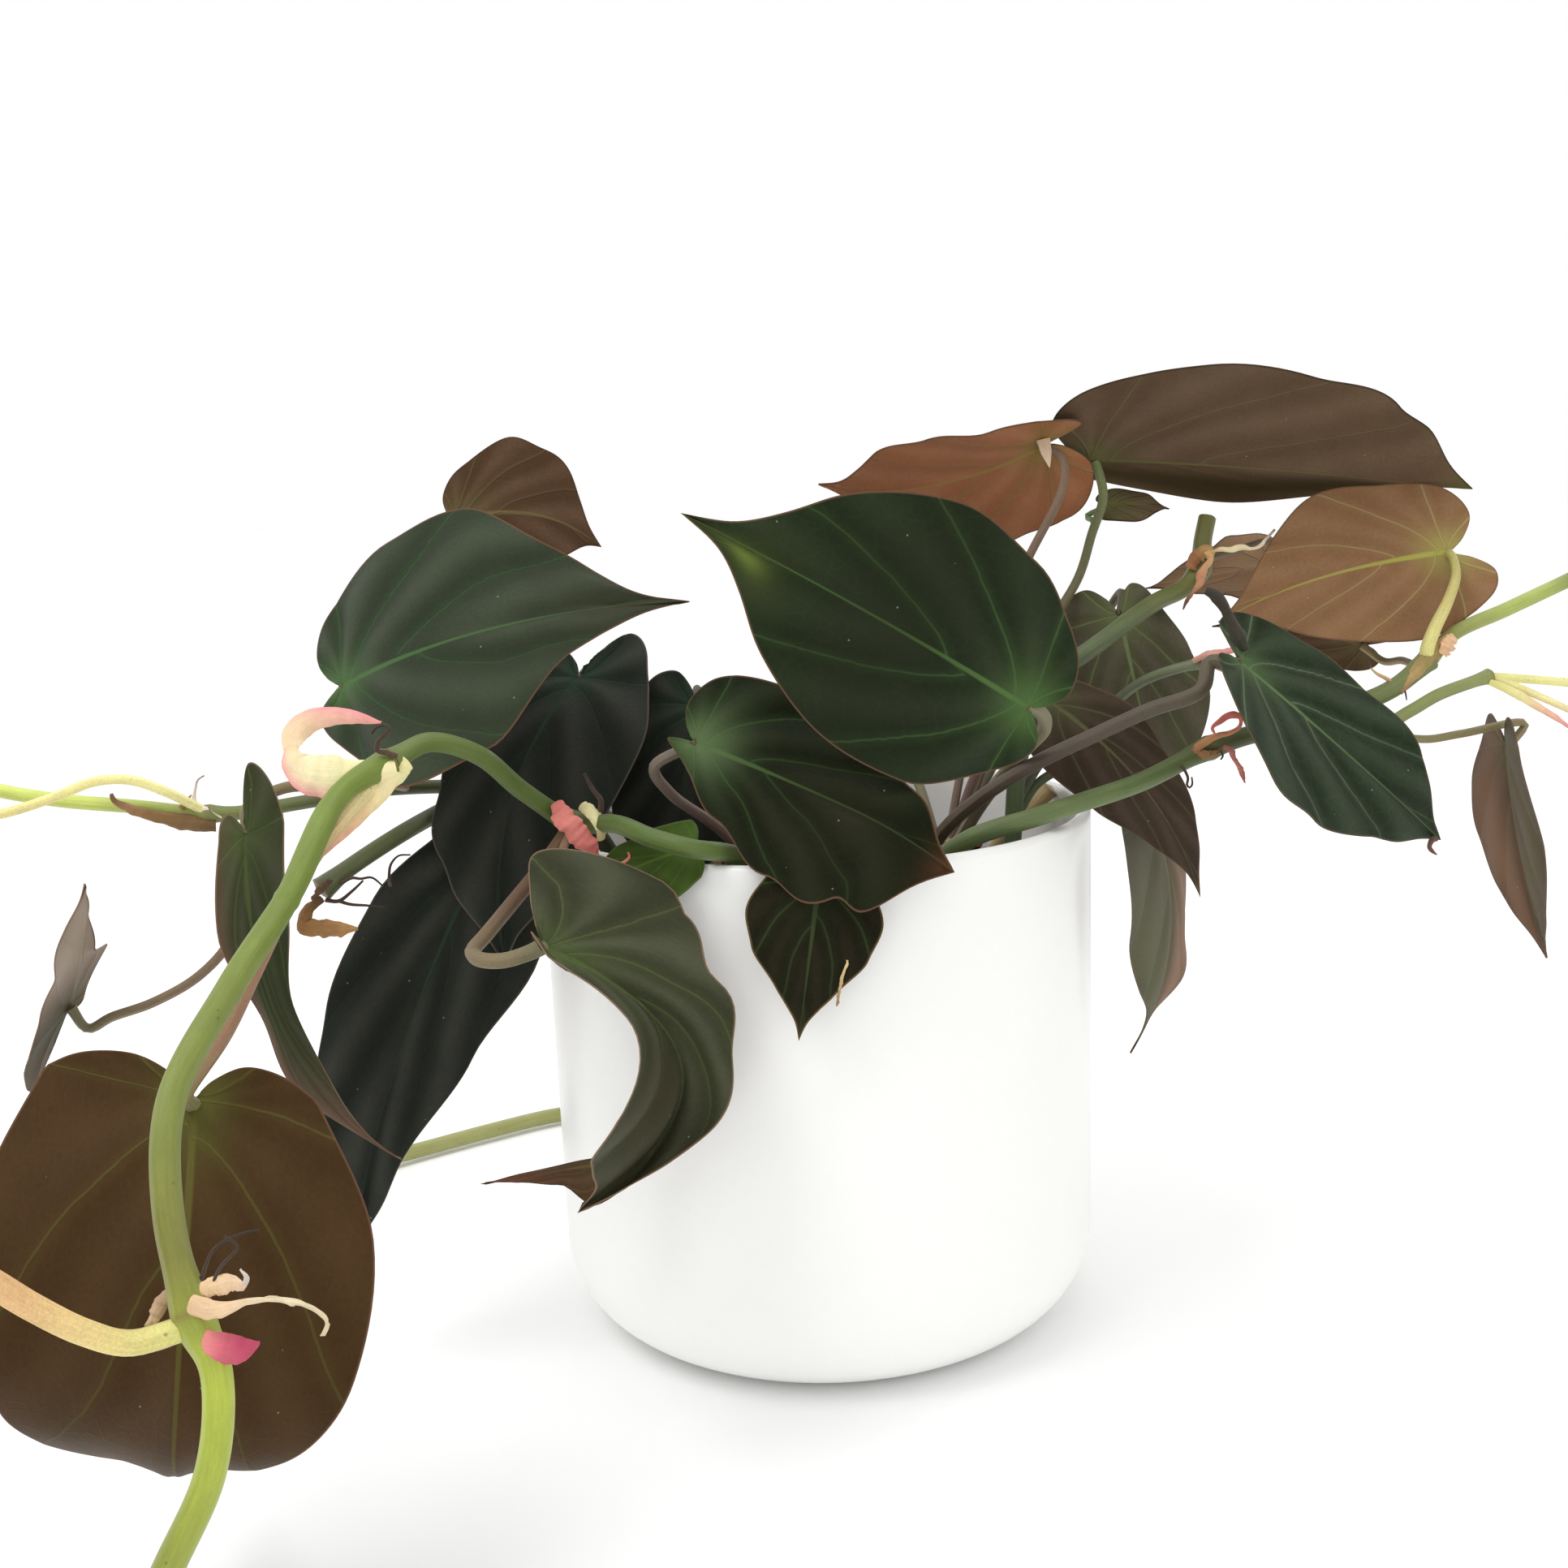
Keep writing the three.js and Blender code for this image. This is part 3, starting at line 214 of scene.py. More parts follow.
# Blades of the leaves. Base and tip are the ends of the midrib and face is what the upper skin looks toward;
# left and right are half widths at five stations, right being like left where it isn't given, and the rest
# bend the blade as leafSurface says.
leaves = {
    "leaf_centre": {
        "base": [42.2, -59.5, 149.7], "tip": [-24.8, -67.5, 191], "face": [0.06, -0.99, -0.1],
        "left": [17, 26, 27, 26, 20], "right": [20, 25, 28, 28, 22], "arch": 11, "sweep": 2, "fold": [0, 3],
        "lobe": 0.08, "curl": -1,
    },
    "leaf_upper_left": {
        "base": [-100, -35, 156.5], "tip": [-25.2, -43, 172.7], "face": [-0.22, -0.84, 0.49],
        "left": [25, 29.3, 32.8, 25, 18.5], "right": [15, 29, 27, 14, 15], "arch": 12, "sweep": 2,
        "fold": [0, 2], "lobe": 0.08, "curl": 1,
    },
    "leaf_back_left": {
        "base": [-82, 12, 189], "tip": [-47, 4, 182], "face": [0.16, 0.94, -0.3],
        "left": [17, 18, 17, 17, 18], "right": [17, 19, 17, 19, 18], "arch": 1, "sweep": 5, "lobe": 0.11,
    },
    "leaf_hang_left": {
        "base": [-51.7, -16, 154.5], "tip": [-67.5, -46, 96.5], "face": [-0.18, -0.95, 0.35],
        "left": [19, 23.5, 23, 27, 34], "right": [18, 18, 18, 23, 38], "arch": 6, "sweep": 6, "fold": [3, 6],
        "lobe": 0.14, "lobeTilt": 0.05,
    },
    "leaf_dark_inner": {
        "base": [-26, -14, 147], "tip": [-35, -20, 103.5], "face": [0.1, -0.98, 0.1],
        "left": [16, 17, 17, 20, 26], "arch": 2, "lobe": 0.15, "wave": 1,
    },
    "leaf_over_rim": {
        "base": [-25, -50, 144], "tip": [25, -75, 123.5], "face": [-0.09, -0.79, 0.61],
        "left": [21.5, 19.4, 17, 18.5, 36], "right": [3.5, 13.4, 20.6, 30.5, 76], "arch": -1, "sweep": -1,
        "fold": [8, -4], "twist": 4, "lobe": 0.1, "curl": 7,
    },
    "leaf_bent_front": {
        "base": [-54.6, -79, 109.8], "tip": [-51.6, -75, 53.3], "face": [0.75, -0.66, -0.01],
        "left": [44, 18.5, 12.5, 16, 24], "right": [8, 13.2, 26, 34, 42], "arch": 18, "sweep": -16,
        "fold": [50, 36], "twist": -97, "lobe": 0.17, "lobeTilt": 0.1, "cup": 1,
    },
    "leaf_pleated": {
        "base": [-70, -32.5, 123], "tip": [-109, -33, 24], "face": [-0.1, -0.99, 0.04],
        "left": [13, 21, 16, 12, 20], "right": [9, 18, 20, 22, 24], "arch": 8, "sweep": 3, "lobe": 0.11,
        "wave": 1,
    },
    "leaf_front_low": {
        "base": [-109, -122, 97], "tip": [-123, -113, 20], "face": [0, 0.99, 0.12],
        "left": [33, 37, 34, 42, 50], "right": [24, 31, 30, 29, 32], "arch": -30, "sweep": 8,
        "fold": [13, 19], "twist": 3, "lobe": 0.06, "cup": 3, "curl": -14,
    },
    "leaf_folded_left": {
        "base": [-116, -58, 130], "tip": [-93, -46, 54], "face": [-0.03, -0.99, -0.16],
        "left": [11, 8.5, 4, 6, 5], "right": [7.5, 7.5, 4, 8.5, 7], "arch": 9, "sweep": 7, "fold": [11, 13],
        "twist": -33, "lobe": 0.11, "lobeTilt": 0.05, "curl": 1,
    },
    "leaf_far_left": {
        "base": [-170, -25, 85], "tip": [-157, -40, 117], "face": [-0.93, 0.08, 0.3],
        "left": [9, 13, 1.5, 1.5, 3], "right": [24, 15, 15, 21, 18], "arch": 0, "sweep": -3, "lobe": 0.22,
        "lobeTilt": -0.17, "wave": 1,
    },
    "leaf_below_rim": {
        "base": [-0.8, -65.3, 117.2], "tip": [-6, -72, 86.5], "face": [-0.02, -0.98, 0.18],
        "left": [12.6, 14, 12.5, 9.5, 9], "right": [12.5, 13.9, 12.5, 9.5, 9], "arch": 1, "lobe": 0.05,
        "cup": 0,
    },
    "leaf_top_right": {
        "base": [68, 18, 198], "tip": [161, 22, 186.7], "face": [0.14, 0.29, 0.95],
        "left": [27, 32, 34.5, 24, 10], "right": [36, 33, 32.5, 38.5, 62], "arch": 0, "sweep": 5,
        "fold": [7, 28], "twist": 9, "lobe": 0.12, "curl": -1,
    },
    "leaf_top_middle": {
        "base": [57, 12, 202], "tip": [4, 25, 193], "face": [0.04, 0.66, 0.75],
        "left": [12, 15.5, 22, 27, 28], "right": [30, 23, 24, 26, 27], "arch": -1, "sweep": 5,
        "fold": [-6, -8], "lobe": 0.17, "curl": -2,
    },
    "leaf_right_under": {
        "base": [151, 10, 173], "tip": [95.5, 2, 160.2], "face": [-0.03, 0.88, -0.47],
        "left": [24, 20, 21, 19, 20], "right": [19, 21, 20, 20, 21], "arch": 1, "sweep": -3, "fold": [2, 2],
        "lobe": 0.15, "curl": -2,
    },
    "leaf_right_green": {
        "base": [90, -38, 155], "tip": [133, -39, 115], "face": [0.45, -0.74, 0.51],
        "left": [27.5, 21, 18.7, 20, 24], "right": [31, 31, 23.5, 20.5, 32], "arch": 7, "sweep": 7,
        "fold": [3, 15], "twist": -50, "lobe": 0.11,
    },
    "leaf_far_right": {
        "base": [164, 5, 128], "tip": [174, 1, 76], "face": [-0.98, -0.01, -0.2],
        "left": [17, 18, 20, 22, 29], "right": [16, 19, 21, 23, 30], "arch": 1, "sweep": 1, "fold": [13, 11],
        "twist": 7,
    },
    "leaf_back_right": {
        "base": [119, 44, 169], "tip": [86, 40, 165], "face": [0, 0.7, -0.71], "left": [15, 12, 8, 8, 8],
        "right": [13, 12, 8, 8, 8], "arch": 0, "fine": False,
    },
    "leaf_grey_heart": {
        "base": [75, 17, 161], "tip": [87.5, 26, 111], "face": [-0.44, -0.89, -0.13],
        "left": [12, 15, 18, 18, 18], "right": [19, 18, 18, 18, 18], "arch": 3, "sweep": -1,
    },
    "leaf_purple": {
        "base": [53.7, -8, 144.3], "tip": [88.5, -10, 96.5], "face": [-0.17, -0.98, -0.09],
        "left": [9, 11, 9, 10, 14], "right": [13, 14, 13, 10, 8], "arch": 5, "sweep": -6, "lobe": 0.08,
        "curl": 1,
    },
    "leaf_hang_right": {
        "base": [82, 10, 112], "tip": [75, 4, 55], "face": [0.84, -0.54, -0.05], "left": [18, 18, 20, 26, 3],
        "right": [21, 27, 25, 20, 5], "arch": 7, "fold": [0, 2], "wave": 1.5,
    },
    "leaf_bright": {
        "base": [-25.4, -57, 124], "tip": [-50, -51, 114], "face": [-0.34, -0.78, 0.52],
        "left": [9, 10, 9.5, 9, 9], "right": [7.5, 6.5, 7, 9, 12], "arch": 0.5, "lobe": 0.04, "cup": 0.5,
        "fine": False,
    },
    "leaf_red_tip": {
        "base": [-44, -61, 58.5], "tip": [-73, -62, 55], "face": [-0.1, -0.85, 0.5],
        "left": [7, 8.5, 3, 2.2, 2.2], "right": [2, 1.4, 1.2, 1.2, 1.2], "arch": 1, "cup": 1, "fine": False,
    },
    "leaf_behind_right": {
        "base": [136, 22, 151], "tip": [98, 20, 157], "face": [0, 0.75, 0.6], "left": [10, 10, 10, 9, 9],
        "fine": False,
    },
    "leaf_small_top": {
        "base": [72.5, 22, 187], "tip": [88, 21, 185.5], "face": [0, -0.8, 0.6], "left": [5, 5, 5, 5, 5],
        "arch": 1, "cup": 1, "fine": False,
    },
    "leaf_left_edge": {
        "base": [-198, -32, 122], "tip": [-197, -40, 66], "face": [-0.1, -0.95, 0.2],
        "left": [18, 19, 19, 18, 18], "fine": False,
    },
    "leaf_left_tip": {
        "base": [-203, -14, 140], "tip": [-232, -22, 130], "face": [-0.2, -0.5, 0.85],
        "left": [9, 9, 9, 9, 9], "cup": 1, "fine": False,
    },
    "leaf_near_left": {
        "base": [-128, -194, 106], "tip": [-176, -216, 76], "face": [-0.4, -0.45, 0.8],
        "left": [24, 25, 25, 24, 24], "arch": 7,
    },
    "leaf_right_edge": {
        "base": [199, 10, 140], "tip": [228, 14, 114], "face": [0.4, -0.6, 0.7], "left": [12, 13, 13, 12, 12],
        "fine": False,
    },
    "leaf_back_low": {
        "base": [-24, 98, 104], "tip": [-52, 112, 52], "face": [-0.3, 0.85, 0.4],
        "left": [20, 21, 21, 20, 20], "arch": 5,
    },
    "leaf_back_middle": {
        "base": [14, 54, 142], "tip": [30, 106, 108], "face": [0.1, 0.55, 0.83], "left": [22, 23, 23, 22, 22],
        "arch": 7,
    },
    "leaf_back_crown": {
        "base": [-38, 46, 138], "tip": [-70, 88, 100], "face": [-0.25, 0.5, 0.83],
        "left": [21, 22, 22, 21, 21], "arch": 7,
    },
    "leaf_floor_end": {
        "base": [-138, 79, 9], "tip": [-170, 58, 3], "face": [-0.1, 0, 1], "left": [15, 16, 16, 15, 15],
        "arch": 3, "cup": 1, "wave": 0.4,
    },
    "leaf_floor_back": {
        "base": [-64, 136, 10], "tip": [-18, 160, 3], "face": [0, 0.1, 1], "left": [20, 21, 21, 20, 20],
        "arch": 4, "cup": 1, "wave": 0.4,
    },
}


# Skins of the blades: one grid each, whose rows are swept toward the tip
blade = {
    "rows": 88, "columns": 17, "smallRows": 46, "smallColumns": 10,
    "columnCrowd": 1.15,  # how much closer the columns stand near the midrib
    "thickness": 0.5,
    "lean": 2.3,          # how far the rows of the grid run on toward the tip
    "veinLean": 5.5,      # the same for the veins, most of which leave the midrib near the notch
    "veinArch": 1.6,      # how late a vein turns from the midrib toward the tip
    "veinStart": 0.16,    # place on the outline where the first vein ends
    "veinGap": 0.205,     # share of the outline between two veins
    "leftShift": 0.12, "rightShift": -0.08,  # the two halves' veins leave the midrib a little apart
    "pleat": 0.5,         # height of the blade between two veins
    "pleatRound": 0.9, "pleatLow": 0.55, "pleatWidth": 12,
    "grooveDepth": 0.2, "grooveWidth": 1.1,
    "glowLength": 7, "glowWidth": 6,  # pale patch at the notch
}
halfOutline = np.array([
    [0, 0], [0.12, -0.08], [0.36, -0.14], [0.66, -0.09], [0.88, 0.06], [0.99, 0.22],
    [0.98, 0.38], [0.87, 0.53], [0.66, 0.67], [0.36, 0.79], [0.13, 0.89], [0, 1],
])
notchDepth = 0.14
widthStations = np.array([-0.1, 0.2, 0.45, 0.7, 0.9])
leafDefaults = {
    "arch": 3, "sweep": 0, "fold": [4, 4], "twist": 0, "lobe": 0.13, "lobeTilt": 0, "cup": 2, "wave": 0.6,
    "curl": 0, "fine": True,
}


def outlineAt(share):
    # Half outline of the leaf: a uniform Catmull-Rom curve, read at even shares of its length
    last = len(halfOutline) - 1
    place = np.linspace(0, last, 401)
    index = np.minimum(place.astype(int), last - 1)
    rest = (place - index)[:, None]
    before, start = halfOutline[np.maximum(index - 1, 0)], halfOutline[index]
    end, after = halfOutline[index + 1], halfOutline[np.minimum(index + 2, last)]
    leave, arrive = (end - before) / 2, (after - start) / 2
    curve = (2 * start - 2 * end + leave + arrive) * rest**3
    curve += (-3 * start + 3 * end - 2 * leave - arrive) * rest**2 + leave * rest + start
    length = np.concatenate([[0], np.cumsum(np.linalg.norm(np.diff(curve, axis=0), axis=1))])
    return [np.interp(share * length[-1], length, curve[:, axis]) for axis in (0, 1)]


def lobeAlong(edge, lobe):
    # The outline behind the notch, drawn as deep as this leaf's lobe
    return np.where(edge < 0, edge * lobe / notchDepth, edge)


def halfWidthAt(widths, along):
    # Half width along the leaf, eased from station to station
    widths = np.array(widths, float)
    place = np.clip(along, widthStations[0], widthStations[-1])
    index = sum((place > station).astype(int) for station in widthStations[1:-1])
    share = ease(widthStations[index], widthStations[index + 1], place)
    return widths[index] + (widths[index + 1] - widths[index]) * share


def leafFrame(leaf):
    # Base of the midrib, directions along it, out of the upper skin and to the side, and the midrib's length
    base = np.array(leaf["base"], float)
    axis = np.array(leaf["tip"], float) - base
    length = np.linalg.norm(axis)
    axis = axis / length
    face = np.array(leaf["face"], float)
    face = unit(face - axis * (face @ axis))
    return base, axis, face, np.cross(axis, face), length


def leafSurface(leaf, row, column):
    # Upper skin of a blade. A row runs from a place on the midrib out to the margin, swept toward the tip,
    # and the blade bows along its midrib, folds up and cups at its halves, twists, waves, and curls its tip.
    base, axis, face, side, length = leafFrame(leaf)
    edgeX, edgeY = outlineAt(row)
    edgeAlong = lobeAlong(edgeY, leaf["lobe"] - np.sign(column) * leaf["lobeTilt"])
    out = np.abs(column)
    along = row ** blade["lean"] * (1 - out) + edgeAlong * out
    leftHalf = column < 0
    half = np.where(leftHalf, halfWidthAt(leaf["left"], along), halfWidthAt(leaf["right"], along))
    fold = np.radians(np.where(leftHalf, leaf["fold"][0], leaf["fold"][1]))
    across = column * edgeX * half
    twist = np.radians(leaf["twist"]) * (along - 0.3)
    bow = np.where(along >= 0, 4 * along * (1 - along), 1.5 * along)
    wave = leaf["wave"] * out**3 * edgeX * np.sin(row * 17 + np.where(leftHalf, 1.5, 0))
    curl = leaf["curl"] * np.maximum(0, (along - 0.6) / 0.4) ** 2
    rise = np.abs(across) * np.sin(fold) - leaf["cup"] * out**2 * edgeX + wave
    flat = across * np.cos(fold)
    sideways = leaf["sweep"] * bow + flat * np.cos(twist) - rise * np.sin(twist)
    upward = leaf["arch"] * bow - curl + flat * np.sin(twist) + rise * np.cos(twist)
    points = base + axis * (length * along)[..., None] + face * upward[..., None] + side * sideways[..., None]
    return points, along * length, across


def veinShare(x, y, lobe):
    # Which vein passes each place (x across as a share of the half width, y along): a vein runs from the
    # midrib at share ** veinLean to the margin at that share, arching late; the nearest share is searched for
    share = np.linspace(0.004, 0.996, 320)
    edgeX, edgeY = outlineAt(share)
    out = x.reshape(-1, 1) / np.maximum(edgeX, 0.01)
    start = share ** blade["veinLean"]
    bend = np.minimum(out, 1.2) ** blade["veinArch"]
    gap = start + (lobeAlong(edgeY, lobe) - start) * bend - y.reshape(-1, 1)
    cost = np.abs(gap) + 4 * np.maximum(out - 1.01, 0)
    best = np.clip(cost.argmin(axis=1), 1, len(share) - 2)
    at = np.arange(len(best))
    slope = (gap[at, best + 1] - gap[at, best - 1]) / (share[2] - share[0])
    step = -gap[at, best] / np.where(np.abs(slope) < 0.05, 0.05, slope)
    return (share[best] + np.clip(step, -0.004, 0.004)).reshape(x.shape)


def veinMarks(leaf, row, column, points, along):
    # Phase, which is whole at each vein, and step, the millimetres from vein to vein: one over the steepest
    # slope of the phase on the surface, worked out from the grid's steps along its rows and columns
    vein = veinShare(np.abs(column) * outlineAt(row)[0], along, leaf["lobe"])
    shift = np.where(column < 0, blade["leftShift"], blade["rightShift"])
    phase = (vein - blade["veinStart"]) / blade["veinGap"] + shift
    down, over = np.gradient(points, axis=0), np.gradient(points, axis=1)
    slopeDown, slopeOver = np.gradient(phase, axis=0), np.gradient(phase, axis=1)
    downDown, downOver, overOver = (down**2).sum(-1), (down * over).sum(-1), (over**2).sum(-1)
    area = np.maximum(downDown * overOver - downOver**2, 1e-6)
    steep = overOver * slopeDown**2 - 2 * downOver * slopeDown * slopeOver + downDown * slopeOver**2
    return phase, np.clip(1 / np.sqrt(np.maximum(steep / area, 1e-6)), 0.8, 30)


def reliefHeight(pleat, row, out, phase, step, midDist):
    # Pleats: rounded crests midway between veins, higher where the veins are far apart and fading at the
    # midrib and the margin, less a groove along the midrib that runs out at the tip
    crest = np.abs(np.sin(np.pi * phase)) ** blade["pleatRound"] - blade["pleatLow"]
    room = ease(0.02, 0.25, out) * (1 - 0.75 * ease(0.72, 1, out)) * np.clip(step / blade["pleatWidth"], 0,
                                                                             1.3)
    groove = blade["grooveDepth"] * hump(midDist, blade["grooveWidth"]) * (1 - row**3)
    return blade["pleat"] * pleat * crest * room - groove


def patchColours(tintsAndPaintedLight, along, column):
    # Colour and strength of the patches: soft ovals, each laid over those before it; most are the leaf's own
    # colour, some are painted shade or painted light
    tint = np.zeros((*column.shape, 4))
    for patch in tintsAndPaintedLight:
        pull = ((along / along.max() - patch["along"]) / patch["reach"][0]) ** 2
        pull = pull + ((column - patch["column"]) / patch["reach"][1]) ** 2
        weight = (patch["strength"] * np.exp(-pull))[..., None]
        kept = tint[..., 3:] * (1 - weight)
        alpha = kept + weight
        colour = np.array(paint(*patch["colour"])[:3])
        tint[..., :3] = (tint[..., :3] * kept + colour * weight) / np.maximum(alpha, 1e-6)
        tint[..., 3:] = alpha
    return tint


def bladeFaces(rows, count, turned):
    # Faces of the upper skin (rows of points between one at the notch and one at the tip), of the lower skin,
    # whose points follow, and of the rim between them, with their material numbers
    inner = gridQuads(rows - 1, count)[0] + 1
    tip = 1 + (rows - 1) * count
    number = np.arange(count - 1)
    fans = np.concatenate([
        np.stack([np.zeros(count - 1, int), number + 2, number + 1], 1),
        np.stack([np.full(count - 1, tip), tip - count + number, tip - count + number + 1], 1)])
    left = np.concatenate([[0], 1 + np.arange(rows - 1) * count, [tip]])
    right = np.concatenate([[0], count + np.arange(rows - 1) * count, [tip]])
    total = tip + 1
    rim = np.concatenate([np.stack([left[:-1], left[1:], left[1:] + total, left[:-1] + total], 1),
                          np.stack([right[1:], right[:-1], right[:-1] + total, right[1:] + total], 1)])
    if turned:
        inner, fans, rim = inner[:, ::-1], fans[:, ::-1], rim[:, ::-1]
    quads = np.concatenate([inner, inner[:, ::-1] + total, rim])
    tris = np.concatenate([fans, fans[:, ::-1] + total])
    return quads, tris, np.repeat([0, 1, 0], [len(inner), len(inner), len(rim)]), np.repeat([0, 1], len(fans))


def makeLeaf(node, leaf, look):
    # Both skins over one grid: the upper one is the leaf's surface with its relief, the lower one lies the
    # blade's thickness under it, half as thick at the margin
    leaf = {**leafDefaults, "right": leaf["left"], **leaf}
    face, length = leafFrame(leaf)[2], leafFrame(leaf)[4]
    rows = blade["rows"] if leaf["fine"] else blade["smallRows"]
    half = blade["columns"] if leaf["fine"] else blade["smallColumns"]
    count = 2 * half + 1
    row = np.linspace(0, 1, rows + 1)[:, None] + np.zeros(count)
    share = np.linspace(-1, 1, count)
    column = np.sign(share) * np.abs(share) ** blade["columnCrowd"] + np.zeros((rows + 1, 1))
    out = np.abs(column)
    points, along, across = leafSurface(leaf, row, column)
    perColumn = np.linalg.norm(np.gradient(points, axis=1), axis=-1) / np.abs(np.gradient(column, axis=1))
    phase, step = veinMarks(leaf, row, column, points, along / length)
    normal = np.cross(np.gradient(points, axis=0), np.gradient(points, axis=1))
    normal[[0, -1]] = normal[[1, -2]].mean(axis=1, keepdims=True)
    normal = unit(normal)
    turned = np.sign((normal @ face).mean())
    normal = normal * turned
    relief = reliefHeight(look["pleat"], row, out, phase, step, perColumn * out)
    upper = points + normal * relief[..., None]
    lower = upper - normal * (blade["thickness"] * (1 - 0.5 * out**4))[..., None]

    def trim(values):
        # one point at the notch, the rows between, and one point at the tip
        return values.reshape(count * (rows + 1), -1)[np.r_[half, count:count * rows, count * rows + half]]

    marks = {
        "veinPhase": phase, "veinStep": step, "midDist": perColumn * out,
        "edgeDist": perColumn * (1 - out) + 0.02,
        "glow": np.exp(-(along / blade["glowLength"]) ** 2 - (across / blade["glowWidth"]) ** 2),
        "fade": along / along.max(),
    }
    marks = {key: np.tile(trim(values)[:, 0], 2) for key, values in marks.items()}
    tint = np.tile(trim(patchColours(look["tintsAndPaintedLight"], along, column)), (2, 1))
    place = np.tile(trim(np.stack([across, along], -1)) / 10, (2, 1))
    quads, tris, quadLook, triLook = bladeFaces(rows, count, turned > 0)
    heap = Heap()
    heap.add(np.concatenate([trim(upper), trim(lower)]), quads, tris, place[quads], place[tris],
             quadLook, triLook, **marks, tint=tint)
    skins = [skinFor(look["upper"]), skinFor(look["under"])]
    heap.make(node.replace("leaf_", "blade_"), [node], skins, 60)


# Materials
class Board:
    # Short hand for placing and wiring nodes in one node tree
    def __init__(self, tree):
        self.tree = tree

    def put(self, kind, inputs=None, **settings):
        node = self.tree.nodes.new(kind)
        for key, value in settings.items():
            setattr(node, key, value)
        for key, value in (inputs or {}).items():
            if isinstance(value, bpy.types.NodeSocket):
                self.tree.links.new(value, node.inputs[key])
            else:
                node.inputs[key].default_value = value
        return node

    def math(self, operation, first, second=0.0, third=0.0):
        return self.put("ShaderNodeMath", {0: first, 1: second, 2: third}, operation=operation).outputs[0]

    def ramp(self, value, low, high):
        # Smooth step from nothing at low to one at high
        inputs = {"Value": value, "From Min": low, "From Max": high}
        return self.put("ShaderNodeMapRange", inputs, interpolation_type="SMOOTHSTEP").outputs["Result"]

    def mix(self, factor, first, second, blend="MIX"):
        node = self.put("ShaderNodeMix", {0: factor, 6: first, 7: second}, data_type="RGBA", blend_type=blend)
        return node.outputs[2]

    def layer(self, under, mask, strength, colour):
        # A colour laid over another where the mask is, as strongly as given
        return self.mix(self.math("MULTIPLY", mask, strength), under, colour)

    def noise(self, vector, scale, detail=3.0, rough=0.55):
        inputs = {"Vector": vector, "Scale": scale, "Detail": detail, "Roughness": rough}
        return self.put("ShaderNodeTexNoise", inputs).outputs["Fac"]

    def stretch(self, vector, scale):
        return self.put("ShaderNodeMapping", {"Vector": vector, "Scale": scale}).outputs[0]

    def mark(self, name):
        return self.put("ShaderNodeAttribute", attribute_name=name).outputs

    def skinMap(self):
        return self.put("ShaderNodeUVMap", uv_map="skin").outputs[0]

    def place(self):
        return self.put("ShaderNodeTexCoord").outputs["Object"]

    def group(self, name, inputs):
        return self.put("ShaderNodeGroup", inputs, node_tree=groups[name]).outputs

    def bump(self, height, distance):
        return self.put("ShaderNodeBump", {"Height": height, "Distance": distance}).outputs[0]

    def send(self, outputs, inputs):
        # Each output to the input of its label
        for label, value in outputs.items():
            self.tree.links.new(value, inputs[label])


def newGroup(name, inputs, outputs):
    # Inputs are labels with their values, and one without a value is a vector; outputs are labels
    tree = bpy.data.node_groups.new(name, "ShaderNodeTree")
    for label, value in inputs.items():
        kind = {"Color": "NodeSocketColor", "Vector": "NodeSocketVector", "Map": "NodeSocketVector"}
        socket = tree.interface.new_socket(label, in_out="INPUT",
                                           socket_type=kind.get(label, "NodeSocketFloat"))
        if value is not None:
            socket.default_value = value
    for label in outputs:
        kind = "NodeSocketColor" if label == "Color" else "NodeSocketFloat"
        tree.interface.new_socket(label, in_out="OUTPUT", socket_type=kind)
    board = Board(tree)
    return board, board.put("NodeGroupInput").outputs, board.put("NodeGroupOutput").inputs


def makeMottle():
    # Cloudy variation: the colour times one plus a share of two noises, one broad and one fine
    board, given, out = newGroup("mottle", {"Vector": None, "Color": None, "Scale": 100.0, "Amount": 0.2,
                                            "Grain": 0.1}, ["Color", "Cloud"])
    cloud = board.noise(given["Vector"], given["Scale"], 4.0)
    fine = board.noise(given["Vector"], board.math("MULTIPLY", given["Scale"], 14.0), 2.0, 0.7)
    broadPart = board.math("MULTIPLY", board.math("MULTIPLY_ADD", cloud, 4.0, -2.0), given["Amount"])
    finePart = board.math("MULTIPLY", board.math("MULTIPLY_ADD", fine, 4.0, -2.0), given["Grain"])
    gain = board.math("MAXIMUM", board.math("ADD", board.math("ADD", broadPart, finePart), 1.0), 0.1)
    board.send({"Color": board.mix(1.0, given["Color"], gain, "MULTIPLY"), "Cloud": cloud}, out)
    return board.tree


def makeSpecks():
    # Sparse round specks: cells whose centre is near, kept only where the cell's own random number is low
    board, given, out = newGroup("specks", {"Vector": None, "Scale": 200.0, "Size": 0.1, "Share": 0.5},
                                 ["Mask"])
    cells = board.put("ShaderNodeTexVoronoi", {"Vector": given["Vector"], "Scale": given["Scale"]}).outputs
    spot = board.ramp(cells["Distance"], given["Size"], board.math("MULTIPLY", given["Size"], 0.5))
    chance = board.put("ShaderNodeSeparateColor", {0: cells["Color"]}).outputs[0]
    board.send({"Mask": board.math("MULTIPLY", spot, board.math("LESS_THAN", chance, given["Share"]))}, out)
    return board.tree


